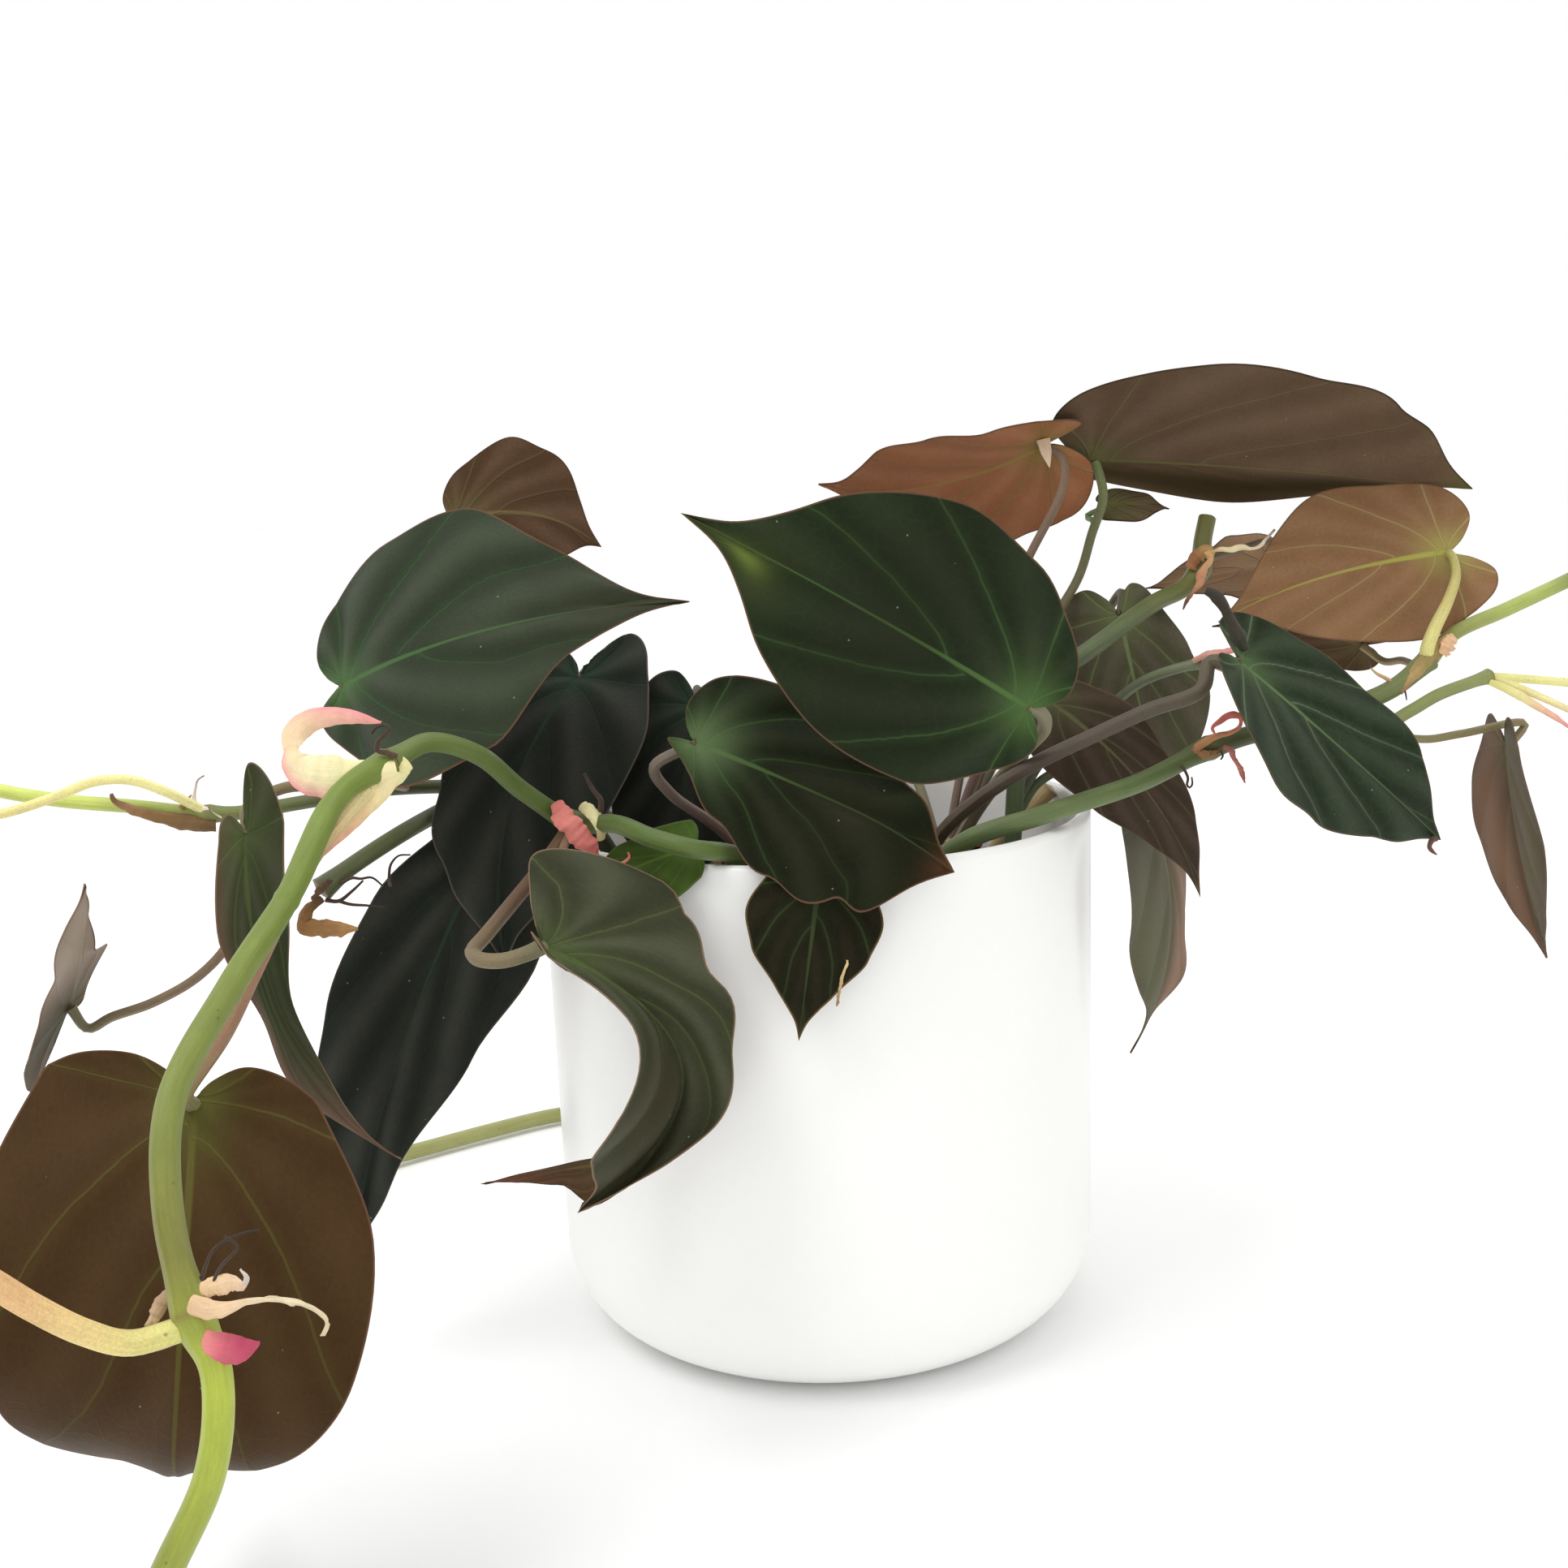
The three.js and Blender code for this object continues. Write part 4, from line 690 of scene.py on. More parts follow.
def makeVeins():
    # Veins: distance in millimetres to the nearest whole phase and to the midrib, as soft lines;
    # the net between them is the edges of small cells, and the crest is highest midway between two veins
    inputs = {"Phase": 0.0, "Step": 8.0, "Middle": 5.0, "Fade": 0.0, "Map": None, "Width": 0.3}
    board, given, out = newGroup("leafVeins", inputs, ["Vein", "Rib", "Net", "Crest", "Halo"])
    wobble = board.math("MULTIPLY_ADD", board.noise(given["Map"], 1.1, 2.0), 0.07, -0.035)
    phase = board.math("PINGPONG", board.math("ADD", given["Phase"], wobble), 0.5)
    away = board.math("MULTIPLY", phase, given["Step"])
    vein = board.ramp(away, given["Width"], board.math("MULTIPLY", given["Width"], 0.35))
    halo = board.ramp(away, board.math("MULTIPLY", given["Width"], 6.0), 0.0)
    thin = board.math("MULTIPLY", given["Width"], board.math("MULTIPLY_ADD", given["Fade"], -1.9, 2.3))
    rib = board.ramp(given["Middle"], thin, board.math("MULTIPLY", thin, 0.4))
    inputs = {"Vector": board.stretch(given["Map"], (1.0, 0.7, 1.0)), "Scale": 3.4}
    cells = board.put("ShaderNodeTexVoronoi", inputs, feature="DISTANCE_TO_EDGE").outputs
    net = board.ramp(cells["Distance"], 0.09, 0.0)
    crest = board.ramp(phase, 0.12, 0.5)
    board.send({"Vein": vein, "Rib": rib, "Net": net, "Crest": crest, "Halo": halo}, out)
    return board.tree


def makeFibres():
    # Long fibres: noise squeezed across the strip and drawn out along it
    board, given, out = newGroup("fibres", {"Map": None, "Across": 30.0, "Along": 1.5}, ["Streak"])
    scale = board.put("ShaderNodeCombineXYZ", {0: given["Across"], 1: given["Along"], 2: 1.0}).outputs[0]
    spread = board.put("ShaderNodeVectorMath", {0: given["Map"], 1: scale}, operation="MULTIPLY").outputs[0]
    board.send({"Streak": board.noise(spread, 1.0, 4.0, 0.6)}, out)
    return board.tree


groups = {"mottle": makeMottle(), "specks": makeSpecks(), "veins": makeVeins(), "fibres": makeFibres()}
print("node groups ready")


def startMaterial(name):
    # A new material, the board of its tree and its shader's inputs
    material = bpy.data.materials.new(name)
    material.use_nodes = True
    return material, Board(material.node_tree), material.node_tree.nodes["Principled BSDF"].inputs


def setValues(shader, **values):
    # Fixed values of the shader: an underscore stands for a space in a socket's name
    for label, value in values.items():
        shader[label.replace("_", " ")].default_value = value


# Skins of the leaves: ground colour, crest colour between veins (a painted highlight on the crests of the
# pleats), veins, midrib, glow at the notch, margin
skinDefaults = {"sheen": 0.03, "rough": 0.5, "gloss": 0.09}
skinLooks = {
    "deepVelvet": {"ground": (31, 41, 25), "crest": (45, 53, 36), "vein": (66, 90, 52), "rib": (82, 112, 60),
        "glow": (88, 120, 64), "edge": (112, 82, 66)},
    "rimVelvet": {"ground": (20, 25, 13), "crest": (38, 43, 27), "vein": (52, 70, 40), "rib": (72, 96, 54),
        "glow": (96, 120, 76), "edge": (110, 80, 64)},
    "blueVelvet": {"ground": (48, 56, 42), "crest": (68, 75, 60), "vein": (56, 80, 50), "rib": (74, 106, 62),
        "glow": (84, 116, 68), "edge": (112, 76, 60), "sheen": 0.05},
    # the leaves' own dark velvet, made darker with painted shade for leaves that sit in shade
    "darkVelvetWithPaintedShade": {"ground": (39, 42, 37), "crest": (60, 61, 55), "vein": (42, 52, 42), "rib": (46, 62, 48),
        "glow": (48, 70, 52), "edge": (96, 84, 76), "rough": 0.48},
    "duskVelvet": {"ground": (29, 28, 18), "crest": (42, 38, 27), "vein": (58, 68, 42), "rib": (64, 78, 48),
        "glow": (50, 60, 38), "edge": (112, 92, 60)},
    "mossVelvet": {"ground": (34, 45, 30), "crest": (56, 68, 50), "vein": (92, 108, 82), "rib": (90, 114, 72),
        "glow": (88, 112, 70), "edge": (92, 76, 60), "sheen": 0.04},
    "oliveVelvet": {"ground": (57, 60, 43), "crest": (82, 84, 66), "vein": (80, 88, 56), "rib": (92, 106, 62),
        "glow": (90, 104, 62), "edge": (140, 112, 92), "sheen": 0.04, "rough": 0.52},
    "smokeVelvet": {"ground": (60, 49, 40), "crest": (80, 67, 57), "vein": (90, 84, 64), "rib": (98, 100, 68),
        "glow": (92, 98, 66), "edge": (104, 82, 68), "sheen": 0.04, "rough": 0.52},
    "stoneVelvet": {"ground": (70, 67, 50), "crest": (84, 79, 62), "vein": (98, 104, 72),
        "rib": (106, 120, 76), "glow": (104, 116, 72), "edge": (104, 88, 72), "sheen": 0.04, "rough": 0.52},
    # the leaf's own grey velvet, lightened with painted light because the leaf lies in shadow
    "ashVelvetWithPaintedLight": {"ground": (88, 85, 66), "crest": (104, 98, 82), "vein": (122, 130, 90),
        "rib": (128, 144, 96), "glow": (122, 134, 88), "edge": (104, 88, 72), "sheen": 0.04, "rough": 0.52},
    "freshGreen": {"ground": (54, 72, 28), "crest": (66, 84, 36), "vein": (70, 92, 42), "rib": (84, 108, 50),
        "glow": (84, 110, 48), "edge": (84, 100, 54), "sheen": 0.02, "rough": 0.42},
    "brownUnder": {"ground": (76, 55, 38), "crest": (96, 74, 57), "vein": (94, 74, 54), "rib": (108, 98, 62),
        "glow": (100, 94, 58), "edge": (72, 52, 40)},
    # own brown-mauve underside, lightened with painted light for leaves in shade that are lit through from
    # behind
    "mauveWithPaintedBacklightUnder": {"ground": (116, 90, 68), "crest": (128, 102, 80), "vein": (128, 110, 80),
        "rib": (132, 122, 84), "glow": (126, 118, 80), "edge": (92, 66, 52)},
    "greyUnder": {"ground": (96, 77, 60), "crest": (110, 91, 73), "vein": (108, 96, 68),
        "rib": (110, 106, 66), "glow": (108, 114, 70), "edge": (60, 48, 38), "gloss": 0, "sheen": 0},
    "russetUnder": {"ground": (68, 49, 29), "crest": (77, 57, 36), "vein": (88, 78, 42), "rib": (94, 90, 44),
        "glow": (98, 102, 48), "edge": (112, 82, 66), "sheen": 0.02},
    # own reddish underside, lightened with painted light where the leaf is lit through from behind
    "roseWithPaintedBacklightUnder": {"ground": (156, 102, 70), "crest": (170, 118, 84), "vein": (148, 116, 74),
        "rib": (150, 134, 70), "glow": (142, 130, 70), "edge": (88, 56, 42), "rough": 0.48},
    "amberUnder": {"ground": (130, 96, 67), "crest": (141, 108, 79), "vein": (160, 136, 94),
        "rib": (164, 164, 80), "glow": (166, 164, 88), "edge": (104, 76, 56), "rough": 0.48},
}
skinsMade = {}
# crest is how strongly the painted highlight on the pleats' crests is laid on
skinLayers = {
    "crest": 0.7, "net": 0.05, "halo": 0.2, "vein": 0.75, "glow": 0.6, "rib": 0.95, "edge": 0.8, "dust": 0.4,
    "dustColour": (176, 184, 170), "veinWidth": 0.36, "underVeinWidth": 0.42, "edgeWidth": 0.55,
    "cloud": 0.11, "grain": 0.09, "hairs": 0.55, "bump": 0.00016,
}


def skinFor(name):
    # Each skin is made once, when the first leaf asks for it
    if name not in skinsMade:
        skinsMade[name] = makeLeafSkin(name, {**skinDefaults, **skinLooks[name]}, name.endswith("Under"))
    return skinsMade[name]


def makeLeafSkin(name, look, isUnder):
    # Ground to crest colour between veins, the crest colour being a painted highlight on the pleats' crests,
    # then net, veins, midrib, glow, the patches (own colour, painted shade or painted light) and margin
    material, board, shader = startMaterial(name)
    place = board.skinMap()
    marks = {key: board.mark(key)["Fac"]
             for key in ("veinPhase", "veinStep", "midDist", "edgeDist", "glow", "fade")}
    veins = board.group("veins", {
        "Phase": marks["veinPhase"], "Step": marks["veinStep"], "Middle": marks["midDist"],
        "Fade": marks["fade"], "Map": place,
        "Width": skinLayers["underVeinWidth" if isUnder else "veinWidth"]})
    # painted highlight: the lighter crest colour lies midway between veins, where the pleats' crests would
    # catch the light, over the ground colour
    colour = board.layer(paint(*look["ground"]), veins["Crest"], skinLayers["crest"], paint(*look["crest"]))
    mottled = board.group("mottle", {"Vector": place, "Color": colour, "Scale": 0.9,
                                     "Amount": skinLayers["cloud"], "Grain": skinLayers["grain"]})
    veinColour = paint(*look["vein"])
    toTip = board.math("MULTIPLY_ADD", marks["fade"], -0.75, 1.0)
    colour = board.layer(mottled["Color"], veins["Net"], skinLayers["net"], veinColour)
    colour = board.layer(colour, board.math("MULTIPLY", veins["Halo"], toTip), skinLayers["halo"], veinColour)
    colour = board.layer(colour, board.math("MULTIPLY", veins["Vein"], toTip), skinLayers["vein"], veinColour)
    colour = board.layer(colour, marks["glow"], skinLayers["glow"], paint(*look["glow"]))
    ribToTip = board.math("MULTIPLY_ADD", marks["fade"], -0.6, skinLayers["rib"])
    colour = board.layer(colour, veins["Rib"], ribToTip, paint(*look["rib"]))
    tint = board.mark("tint")
    colour = board.mix(tint["Alpha"], colour, tint["Color"])
    rim = board.ramp(marks["edgeDist"], skinLayers["edgeWidth"], 0.1)
    colour = board.layer(colour, rim, skinLayers["edge"], paint(*look["edge"]))
    dust = board.group("specks", {"Vector": place, "Scale": 3.1, "Size": 0.075, "Share": 0.16})["Mask"]
    colour = board.layer(colour, dust, skinLayers["dust"], paint(*skinLayers["dustColour"]))
    # velvet: very fine hairs over the surface; the underside's veins stand proud
    hairs = board.noise(place, 42.0, 3.0, 0.7)
    veinHeight = board.math("MULTIPLY", veins["Vein"], 0.9 if isUnder else -0.5)
    height = board.math("ADD", board.math("MULTIPLY", hairs, skinLayers["hairs"]), veinHeight)
    height = board.math("MULTIPLY_ADD", veins["Net"], 0.22 if isUnder else -0.2, height)
    rough = board.math("MULTIPLY_ADD", mottled["Cloud"], 0.16, look["rough"] - 0.08)
    board.send({"Base Color": colour, "Roughness": rough, "Normal": board.bump(height, skinLayers["bump"])},
               shader)
    setValues(shader, Sheen_Weight=look["sheen"], Sheen_Roughness=0.4, Sheen_Tint=paint(196, 200, 184),
              Specular_IOR_Level=look["gloss"], Specular_Tint=paint(150, 146, 134))
    return material


def makeStemSkin(name, rough, scurf):
    # Painted tone along the stem, streaked along its fibres, with sparse brown lenticels and a scurfy grain
    material, board, shader = startMaterial(name)
    place, body, tone = board.skinMap(), board.place(), board.mark("tone")["Color"]
    streak = board.group("fibres", {"Map": place, "Across": 26.0, "Along": 1.2})["Streak"]
    mottled = board.group("mottle",
                          {"Vector": body, "Color": tone, "Scale": 160.0, "Amount": 0.08, "Grain": scurf})
    colour = board.mix(1.0, mottled["Color"], board.math("MULTIPLY_ADD", streak, 0.5, 0.75), "MULTIPLY")
    spots = board.group("specks", {"Vector": body, "Scale": 420.0, "Size": 0.16, "Share": 0.12})["Mask"]
    colour = board.layer(colour, spots, 0.55, paint(96, 74, 44))
    height = board.math("ADD", board.math("MULTIPLY", streak, 0.6), board.math("MULTIPLY", spots, 0.4))
    board.send({"Base Color": colour, "Normal": board.bump(height, 0.0002),
                "Roughness": board.math("MULTIPLY_ADD", streak, 0.2, rough - 0.1)}, shader)
    setValues(shader, Specular_IOR_Level=0.42, Sheen_Weight=0.12, Sheen_Roughness=0.5)
    return material


def makePaperSkin(name, rough, veinDepth, wrinkle):
    # Thin dry or fleshy strip: painted tone, long veins, cloudy stains and small wrinkles
    material, board, shader = startMaterial(name)
    place, tone = board.skinMap(), board.mark("tone")["Color"]
    streak = board.group("fibres", {"Map": place, "Across": 16.0, "Along": 1.1})["Streak"]
    mottled = board.group("mottle",
                          {"Vector": place, "Color": tone, "Scale": 3.0, "Amount": 0.12, "Grain": 0.06})
    gain = board.math("MULTIPLY_ADD", streak, veinDepth * 2, 1 - veinDepth)
    colour = board.mix(1.0, mottled["Color"], gain, "MULTIPLY")
    crumple = board.noise(place, 7.0, 4.0, 0.6)
    height = board.math("ADD", board.math("MULTIPLY", streak, 0.5), board.math("MULTIPLY", crumple, wrinkle))
    board.send({"Base Color": colour, "Normal": board.bump(height, 0.0004),
                "Roughness": board.math("MULTIPLY_ADD", crumple, 0.25, rough - 0.12)}, shader)
    setValues(shader, Specular_IOR_Level=0.3, Sheen_Weight=0.1, Sheen_Roughness=0.5)
    return material


def makeGlaze(name):
    # White satin glaze: faint clouding, faint rings from turning, and a few dark pin holes
    material, board, shader = startMaterial(name)
    body = board.place()
    mottled = board.group("mottle", {"Vector": body, "Color": paint(246, 246, 243), "Scale": 26.0,
                                     "Amount": 0.012, "Grain": 0.006})
    pins = board.group("specks", {"Vector": body, "Scale": 64.0, "Size": 0.035, "Share": 0.14})["Mask"]
    colour = board.layer(mottled["Color"], pins, 0.55, paint(120, 116, 110))
    rings = board.noise(board.stretch(body, (8.0, 8.0, 420.0)), 1.0, 2.0)
    orangePeel = board.noise(body, 900.0, 2.0)
    height = board.math("ADD", board.math("MULTIPLY", rings, 0.5), board.math("MULTIPLY", orangePeel, 0.2))
    board.send({"Base Color": colour, "Normal": board.bump(height, 0.00005),
                "Roughness": board.math("MULTIPLY_ADD", mottled["Cloud"], 0.14, 0.27)}, shader)
    setValues(shader, Specular_IOR_Level=0.5, Coat_Weight=0.15, Coat_Roughness=0.2)
    return material


def makeGroundSkin(name, dark, light, scale):
    # Potting mix and bark: two browns by cloud and grain, with fibre-like relief
    material, board, shader = startMaterial(name)
    body = board.place()
    cloud = board.noise(body, scale, 5.0, 0.65)
    colour = board.mix(board.ramp(cloud, 0.35, 0.68), paint(*dark), paint(*light))
    colour = board.group("mottle", {"Vector": body, "Color": colour, "Scale": scale * 4,
                                    "Amount": 0.25, "Grain": 0.2})["Color"]
    grain = board.noise(board.stretch(body, (1.0, 1.0, 3.0)), scale * 6, 4.0, 0.7)
    board.send({"Base Color": colour, "Normal": board.bump(grain, 0.0009),
                "Roughness": board.math("MULTIPLY_ADD", cloud, 0.2, 0.78)}, shader)
    setValues(shader, Specular_IOR_Level=0.2)
    return material


stemSkins = [makeStemSkin("greenStem", 0.46, 0.05), makeStemSkin("leafStalk", 0.56, 0.14)]
papers = {"fresh": makePaperSkin("fleshyBract", 0.5, 0.10, 0.3),
          "dry": makePaperSkin("dryBract", 0.78, 0.28, 1.0)}
rootSkin = makeStemSkin("dryRoot", 0.8, 0.3)
potSkin = makeGlaze("whiteGlaze")
mixSkin = makeGroundSkin("pottingMix", (38, 27, 21), (84, 60, 44), 300.0)
barkSkin = makeGroundSkin("barkChips", (70, 42, 28), (140, 92, 62), 160.0)
print("materials ready")


# Stems and stalks; a run is one of them, and its tones are its colours from its foot to its end
stalkEnd = {"back": 4.75, "along": 3.5, "touch": 0.35, "past": 0.8}  # how a stalk comes to its leaf's notch
footHeights = [84, 92, 99, 105]  # of a stem's straight foot, which starts in the mix


def toLeaf(name, radius):
    # Last points of a stalk, which comes to its leaf from behind and below the notch
    base, axis, face, _, _ = leafFrame(leaves[name])
    before = base - face * (stalkEnd["back"] + radius * 0.75) - axis * stalkEnd["along"]
    end = base - face * (stalkEnd["touch"] + radius * 0.6) + axis * stalkEnd["past"]
    return [list(before), list(end)]


def rooted(foot, points):
    # The straight foot at its place in the mix, then the points of the run
    return [*([*foot, height] for height in footHeights), *points]


def run(points, radius, tones, swells=(), leaf=None, **more):
    # One stem or stalk; a stalk with a leaf ends behind its notch and thickens a little there
    if leaf:
        points = [*points, *toLeaf(leaf, radius)]
        swells = [*swells, (len(points) - 1, 0.12)]
    return {"points": points, "radius": radius, "tones": tones, "swells": swells,
            "look": 1 if leaf else 0, "sides": 12 if leaf else 16, **more}


frontJoint, frontTopJoint, frontLowJoint = [-51.4, -44, 127], [-81, -82, 147], [-97, -166, 79]
leftJoint, lowLeftJoint, backJoint = [-136, -18, 127], [-105, -46, 115], [-27, 94, 84]
upperRightJoint = [94, 16, 171]
rightJoint, rightFarJoint, rightFork = [87.5, -22, 134], [142, -4, 149.5], [157, -2, 145]

stems = {
    "vine_front": {"slot": "green_stem", "runs": [
        run(rooted([2, -32], [[-5, -43, 111.5], [-12, -51, 117.6], [-18.2, -56.5, 121.7],
            [-25.6, -63.4, 124.5], [-34.2, -60, 126.4], [-42, -51.5, 127.8], frontJoint, [-60.3, -52, 135.3],
            [-67.2, -64, 145.2], [-75, -71, 149], frontTopJoint]), 1.95, [(78, 94, 40), (80, 98, 38),
            (80, 100, 36), (80, 100, 36), (82, 100, 36), (94, 112, 42)], [(10, 0.3), (14, 0.3)]),
        run([frontTopJoint, [-87.8, -92, 143.2], [-92.8, -114, 129.2], [-97.7, -134, 119.2],
            [-102.5, -151, 107], [-101, -161, 93], frontLowJoint, [-93, -170, 72], [-93, -176, 60],
            [-98, -183, 49], [-110, -192, 26], [-122, -202, 8], [-138, -212, 3.6], [-150, -218, 3.2]], 2.3,
            [(108, 126, 44), (112, 130, 46), (106, 122, 38), (116, 130, 50), (120, 130, 54), (124, 124, 54),
            (172, 186, 66), (146, 156, 62), (132, 140, 56), (126, 134, 52), (126, 134, 52), (122, 130, 52)],
            [(0, 0.2), (1, -0.14), (2, -0.06), (6, 0.36)], sides=20),
        run([frontJoint, [-57.7, -54, 119.5], [-63, -62, 114], [-67, -70, 110], [-69, -74, 108],
            [-67, -78, 107.4], [-62, -79.5, 107.4], [-55.7, -78.6, 109.1], [-54.4, -79, 110]], 1.5,
            [(118, 92, 62), (106, 80, 56), (108, 80, 58), (120, 100, 72), (128, 112, 82), (112, 108, 76)],
            [(0, 0.2), (8, 0.1)], look=1),
        run([[-83, -83, 144.6], [-86.6, -90, 140.3], [-91, -100, 134.4], [-94.6, -109.5, 126.8],
            [-98.6, -117, 117.4], [-103, -122, 108]], 1.3, [(226, 216, 156), (200, 176, 124), (160, 124, 92),
            (150, 112, 84), (146, 112, 84), (120, 124, 72)], leaf="leaf_front_low", ends=(1.5, 0.9)),
        run([[-98, -167, 77.5], [-105, -170, 77], [-110, -174, 81], [-115, -178, 87], [-119, -183, 94],
            [-123, -188, 100]], 1.9, [(214, 212, 126), (230, 208, 138), (228, 186, 130), (222, 170, 118),
            (206, 155, 100)], leaf="leaf_near_left"),
        run([frontJoint, [-53, -55, 120], [-44, -60.5, 108], [-28, -61.5, 88], [-29, -61.5, 72],
            [-36, -61, 61]], 0.9, [(150, 120, 90), (120, 90, 80)], leaf="leaf_red_tip"),
    ]},
    "vine_left": {"slot": "pale_stem", "runs": [
        run(rooted([-38, 8], [[-42, 6, 112], [-51, 3, 120], [-61, 0, 125], [-76, -3, 128], [-98, -12, 130],
            [-115, -16, 128.5], [-129, -18, 127], leftJoint, [-154, -16, 129], [-170, -14, 130.5],
            [-185, -12, 133], [-198, -12, 137]]), 1.6, [(76, 88, 52), (78, 86, 54), (80, 86, 54),
            (74, 78, 44), (110, 120, 58), (200, 212, 104), (214, 226, 116)], [(11, 0.3)]),
        run([[-93, -10, 130], [-96, -26, 134], [-103, -43, 136.5], [-110, -50, 137.5]], 1.2, [(120, 104, 66),
            (137, 114, 76), (112, 108, 70)], leaf="leaf_folded_left"),
        run([[-128, -18, 126], [-130, -16, 112], [-134, -17, 98], [-142, -18, 89.5], [-152, -21, 84.5],
            [-161, -23, 82]], 1.1, [(110, 96, 66), (118, 100, 74), (124, 104, 80), (104, 98, 66)],
            leaf="leaf_far_left"),
        run([leftJoint, [-144, -22, 133], [-151, -23, 136], [-159, -23, 136], [-168, -25, 133],
            [-178, -28, 130.5], [-188, -30, 130]], 1.1, [(236, 228, 158), (238, 226, 150), (224, 194, 138)],
            leaf="leaf_left_edge"),
        run([[-194, -12, 135.5]], 0.9, [(214, 216, 130)], leaf="leaf_left_tip"),
    ]},
    "vine_low_left": {"slot": "green_stem", "runs": [
        run(rooted([-45, -8], [[-48, -8, 113], [-55, -8, 123], [-63, -8, 129], [-70, -11, 130],
            [-79, -20, 128], [-89, -34, 124.5], [-100, -43, 118.5], lowLeftJoint]), 1.9, [(70, 78, 46),
            (72, 80, 47), (78, 86, 50), (88, 94, 56)], [(11, 0.35)]),
        run([[-64, -9, 128.5], [-64, -18, 129], [-64, -26, 129]], 1.3, [(96, 100, 66), (70, 76, 60)],
            leaf="leaf_pleated"),
    ]},
    "vine_upper_right": {"slot": "green_stem", "runs": [
        run(rooted([46, 0], [[46.5, 0, 112], [48, 0.5, 128], [51.5, 1.5, 141], [57.5, 2, 149],
            [65, 2.5, 154], [73, 5, 159], [82, 10, 164], [90, 14, 167], upperRightJoint, [95.5, 19, 178],
            [97, 21, 183]]), 2.1, [(84, 98, 62), (82, 96, 60), (84, 98, 62), (88, 102, 66), (94, 106, 68),
            (104, 108, 54), (108, 106, 50)], [(12, 0.3)]),
        run([[96, 19, 173], [108, 29, 175], [117, 36, 176]], 0.9, [(120, 100, 76)], leaf="leaf_back_right"),
        run([[46, 0, 113], [54, 6, 123], [65, 10, 125.5], [74, 13, 120]], 1.1, [(96, 110, 74),
            (110, 120, 90)], leaf="leaf_hang_right"),
        run([[46.8, 0, 118], [56, 8, 129], [70, 9, 139], [78, 7, 145.5], [85, 2, 149], [91, 0, 150.5]], 1.2,
            [(92, 96, 72), (98, 104, 78), (116, 124, 92)], [(5, 0.25)]),
    ]},
    "vine_right": {"slot": "green_stem", "runs": [
        run(rooted([20, -28], [[24, -34, 112], [33, -39, 119.5], [46, -38, 123], [58, -34.5, 125.6],
            [71, -29.5, 128.4], rightJoint, [96, -20, 136], [109, -16, 138], [124, -11, 141], [133, -8, 144],
            rightFarJoint]), 2.1, [(86, 98, 54), (90, 106, 58), (96, 112, 64), (94, 112, 62), (66, 74, 36),
            (92, 104, 58), (112, 120, 64)], [(9, 0.3), (14, 0.2)]),
        run([rightFarJoint, [148, -2, 155], [162, 2, 160], [176, 6, 165], [184, 8, 168]], 1.65,
            [(128, 126, 68), (140, 146, 74), (160, 172, 86), (160, 174, 88), (70, 70, 50)], [(0, 0.25)]),
        run([[124, -12, 140], [129, -14, 137], [135, -12, 139], [143, -8, 142], [152, -4, 144], rightFork],
            1.4, [(118, 126, 70), (126, 134, 76), (134, 140, 80)], [(5, 0.25)]),
        run([rightFork, [165, -5, 141.5], [173, -8, 137.5], [182, -11, 133]], 1, [(214, 208, 132),
            (232, 220, 160), (236, 206, 176)], ends=(1, 0.6), look=1),
        run([rightFarJoint, [141, -6, 152], [143, -5, 157], [147, -2, 163], [150.5, 3, 168.5],
            [151.2, 7.2, 172.2], [151, 9, 173]], 1, [(226, 218, 140), (190, 178, 108), (172, 164, 92)],
            [(6, 0.15)], look=1, ends=(1.7, 0.9)),
        run([[125, -11, 139], [133, -3, 133], [143, 0, 130.5], [153, 3, 131]], 0.95, [(132, 130, 82),
            (140, 124, 90)], leaf="leaf_far_right"),
        run([[142, -2, 147], [141, 10, 148]], 0.9, [(150, 130, 90)], leaf="leaf_behind_right"),
        run([rightFork, [168, 1, 143.5], [178, 4, 142], [190, 8, 140]], 1, [(226, 222, 140), (236, 230, 164)],
            leaf="leaf_right_edge"),
    ]},
    "vine_back": {"slot": "green_stem", "runs": [
        run(rooted([-4, 30], [[-6, 40, 112], [-10, 54, 122.5], [-15, 66, 125], [-20, 80, 112], backJoint,
            [-34, 105, 48], [-42, 114, 16], [-54, 119, 4.5], [-70, 120, 2.9], [-82, 117, 2.9],
            [-100, 106, 2.9], [-121, 91, 2.9], [-132, 82, 3.6]]), 2.2, [(92, 118, 66), (98, 128, 66),
            (104, 134, 66), (130, 138, 76), (150, 152, 92), (154, 154, 94)], [(8, 0.3)]),
        run([[-8, 50, 120], [-20, 46, 128], [-31, 42, 133]], 1.2, [(104, 104, 70)], leaf="leaf_back_crown"),
        run([backJoint, [-24, 90, 98]], 1.1, [(120, 110, 76)], leaf="leaf_back_low"),
        run([[-60, 120, 3.6], [-65, 126, 4.6]], 1.1, [(120, 120, 76)], leaf="leaf_floor_back"),
        run([[-130, 84, 3.6]], 1, [(130, 130, 80)], leaf="leaf_floor_end"),
    ]},
    "crown_left": {"slot": "stalk", "runs": [
        run(rooted([-26, -2], [[-27, -2, 112]]), 2.6, [(110, 100, 70), (124, 116, 76)]),
        run([[-27, -2, 108], [-46, -6, 127], [-68, -13, 139], [-89, -21, 147], [-101, -27, 151]], 1.4,
            [(112, 106, 72), (104, 96, 66), (96, 100, 64)], leaf="leaf_upper_left"),
        run([[-28, 0, 108], [-42, 0, 132], [-64, 2, 158], [-78, 3.5, 176], [-82, 6, 184], [-82.3, 9.2, 187.8],
            [-82.2, 11.4, 189]], 1.1, [(118, 98, 76), (120, 92, 76)], look=1),
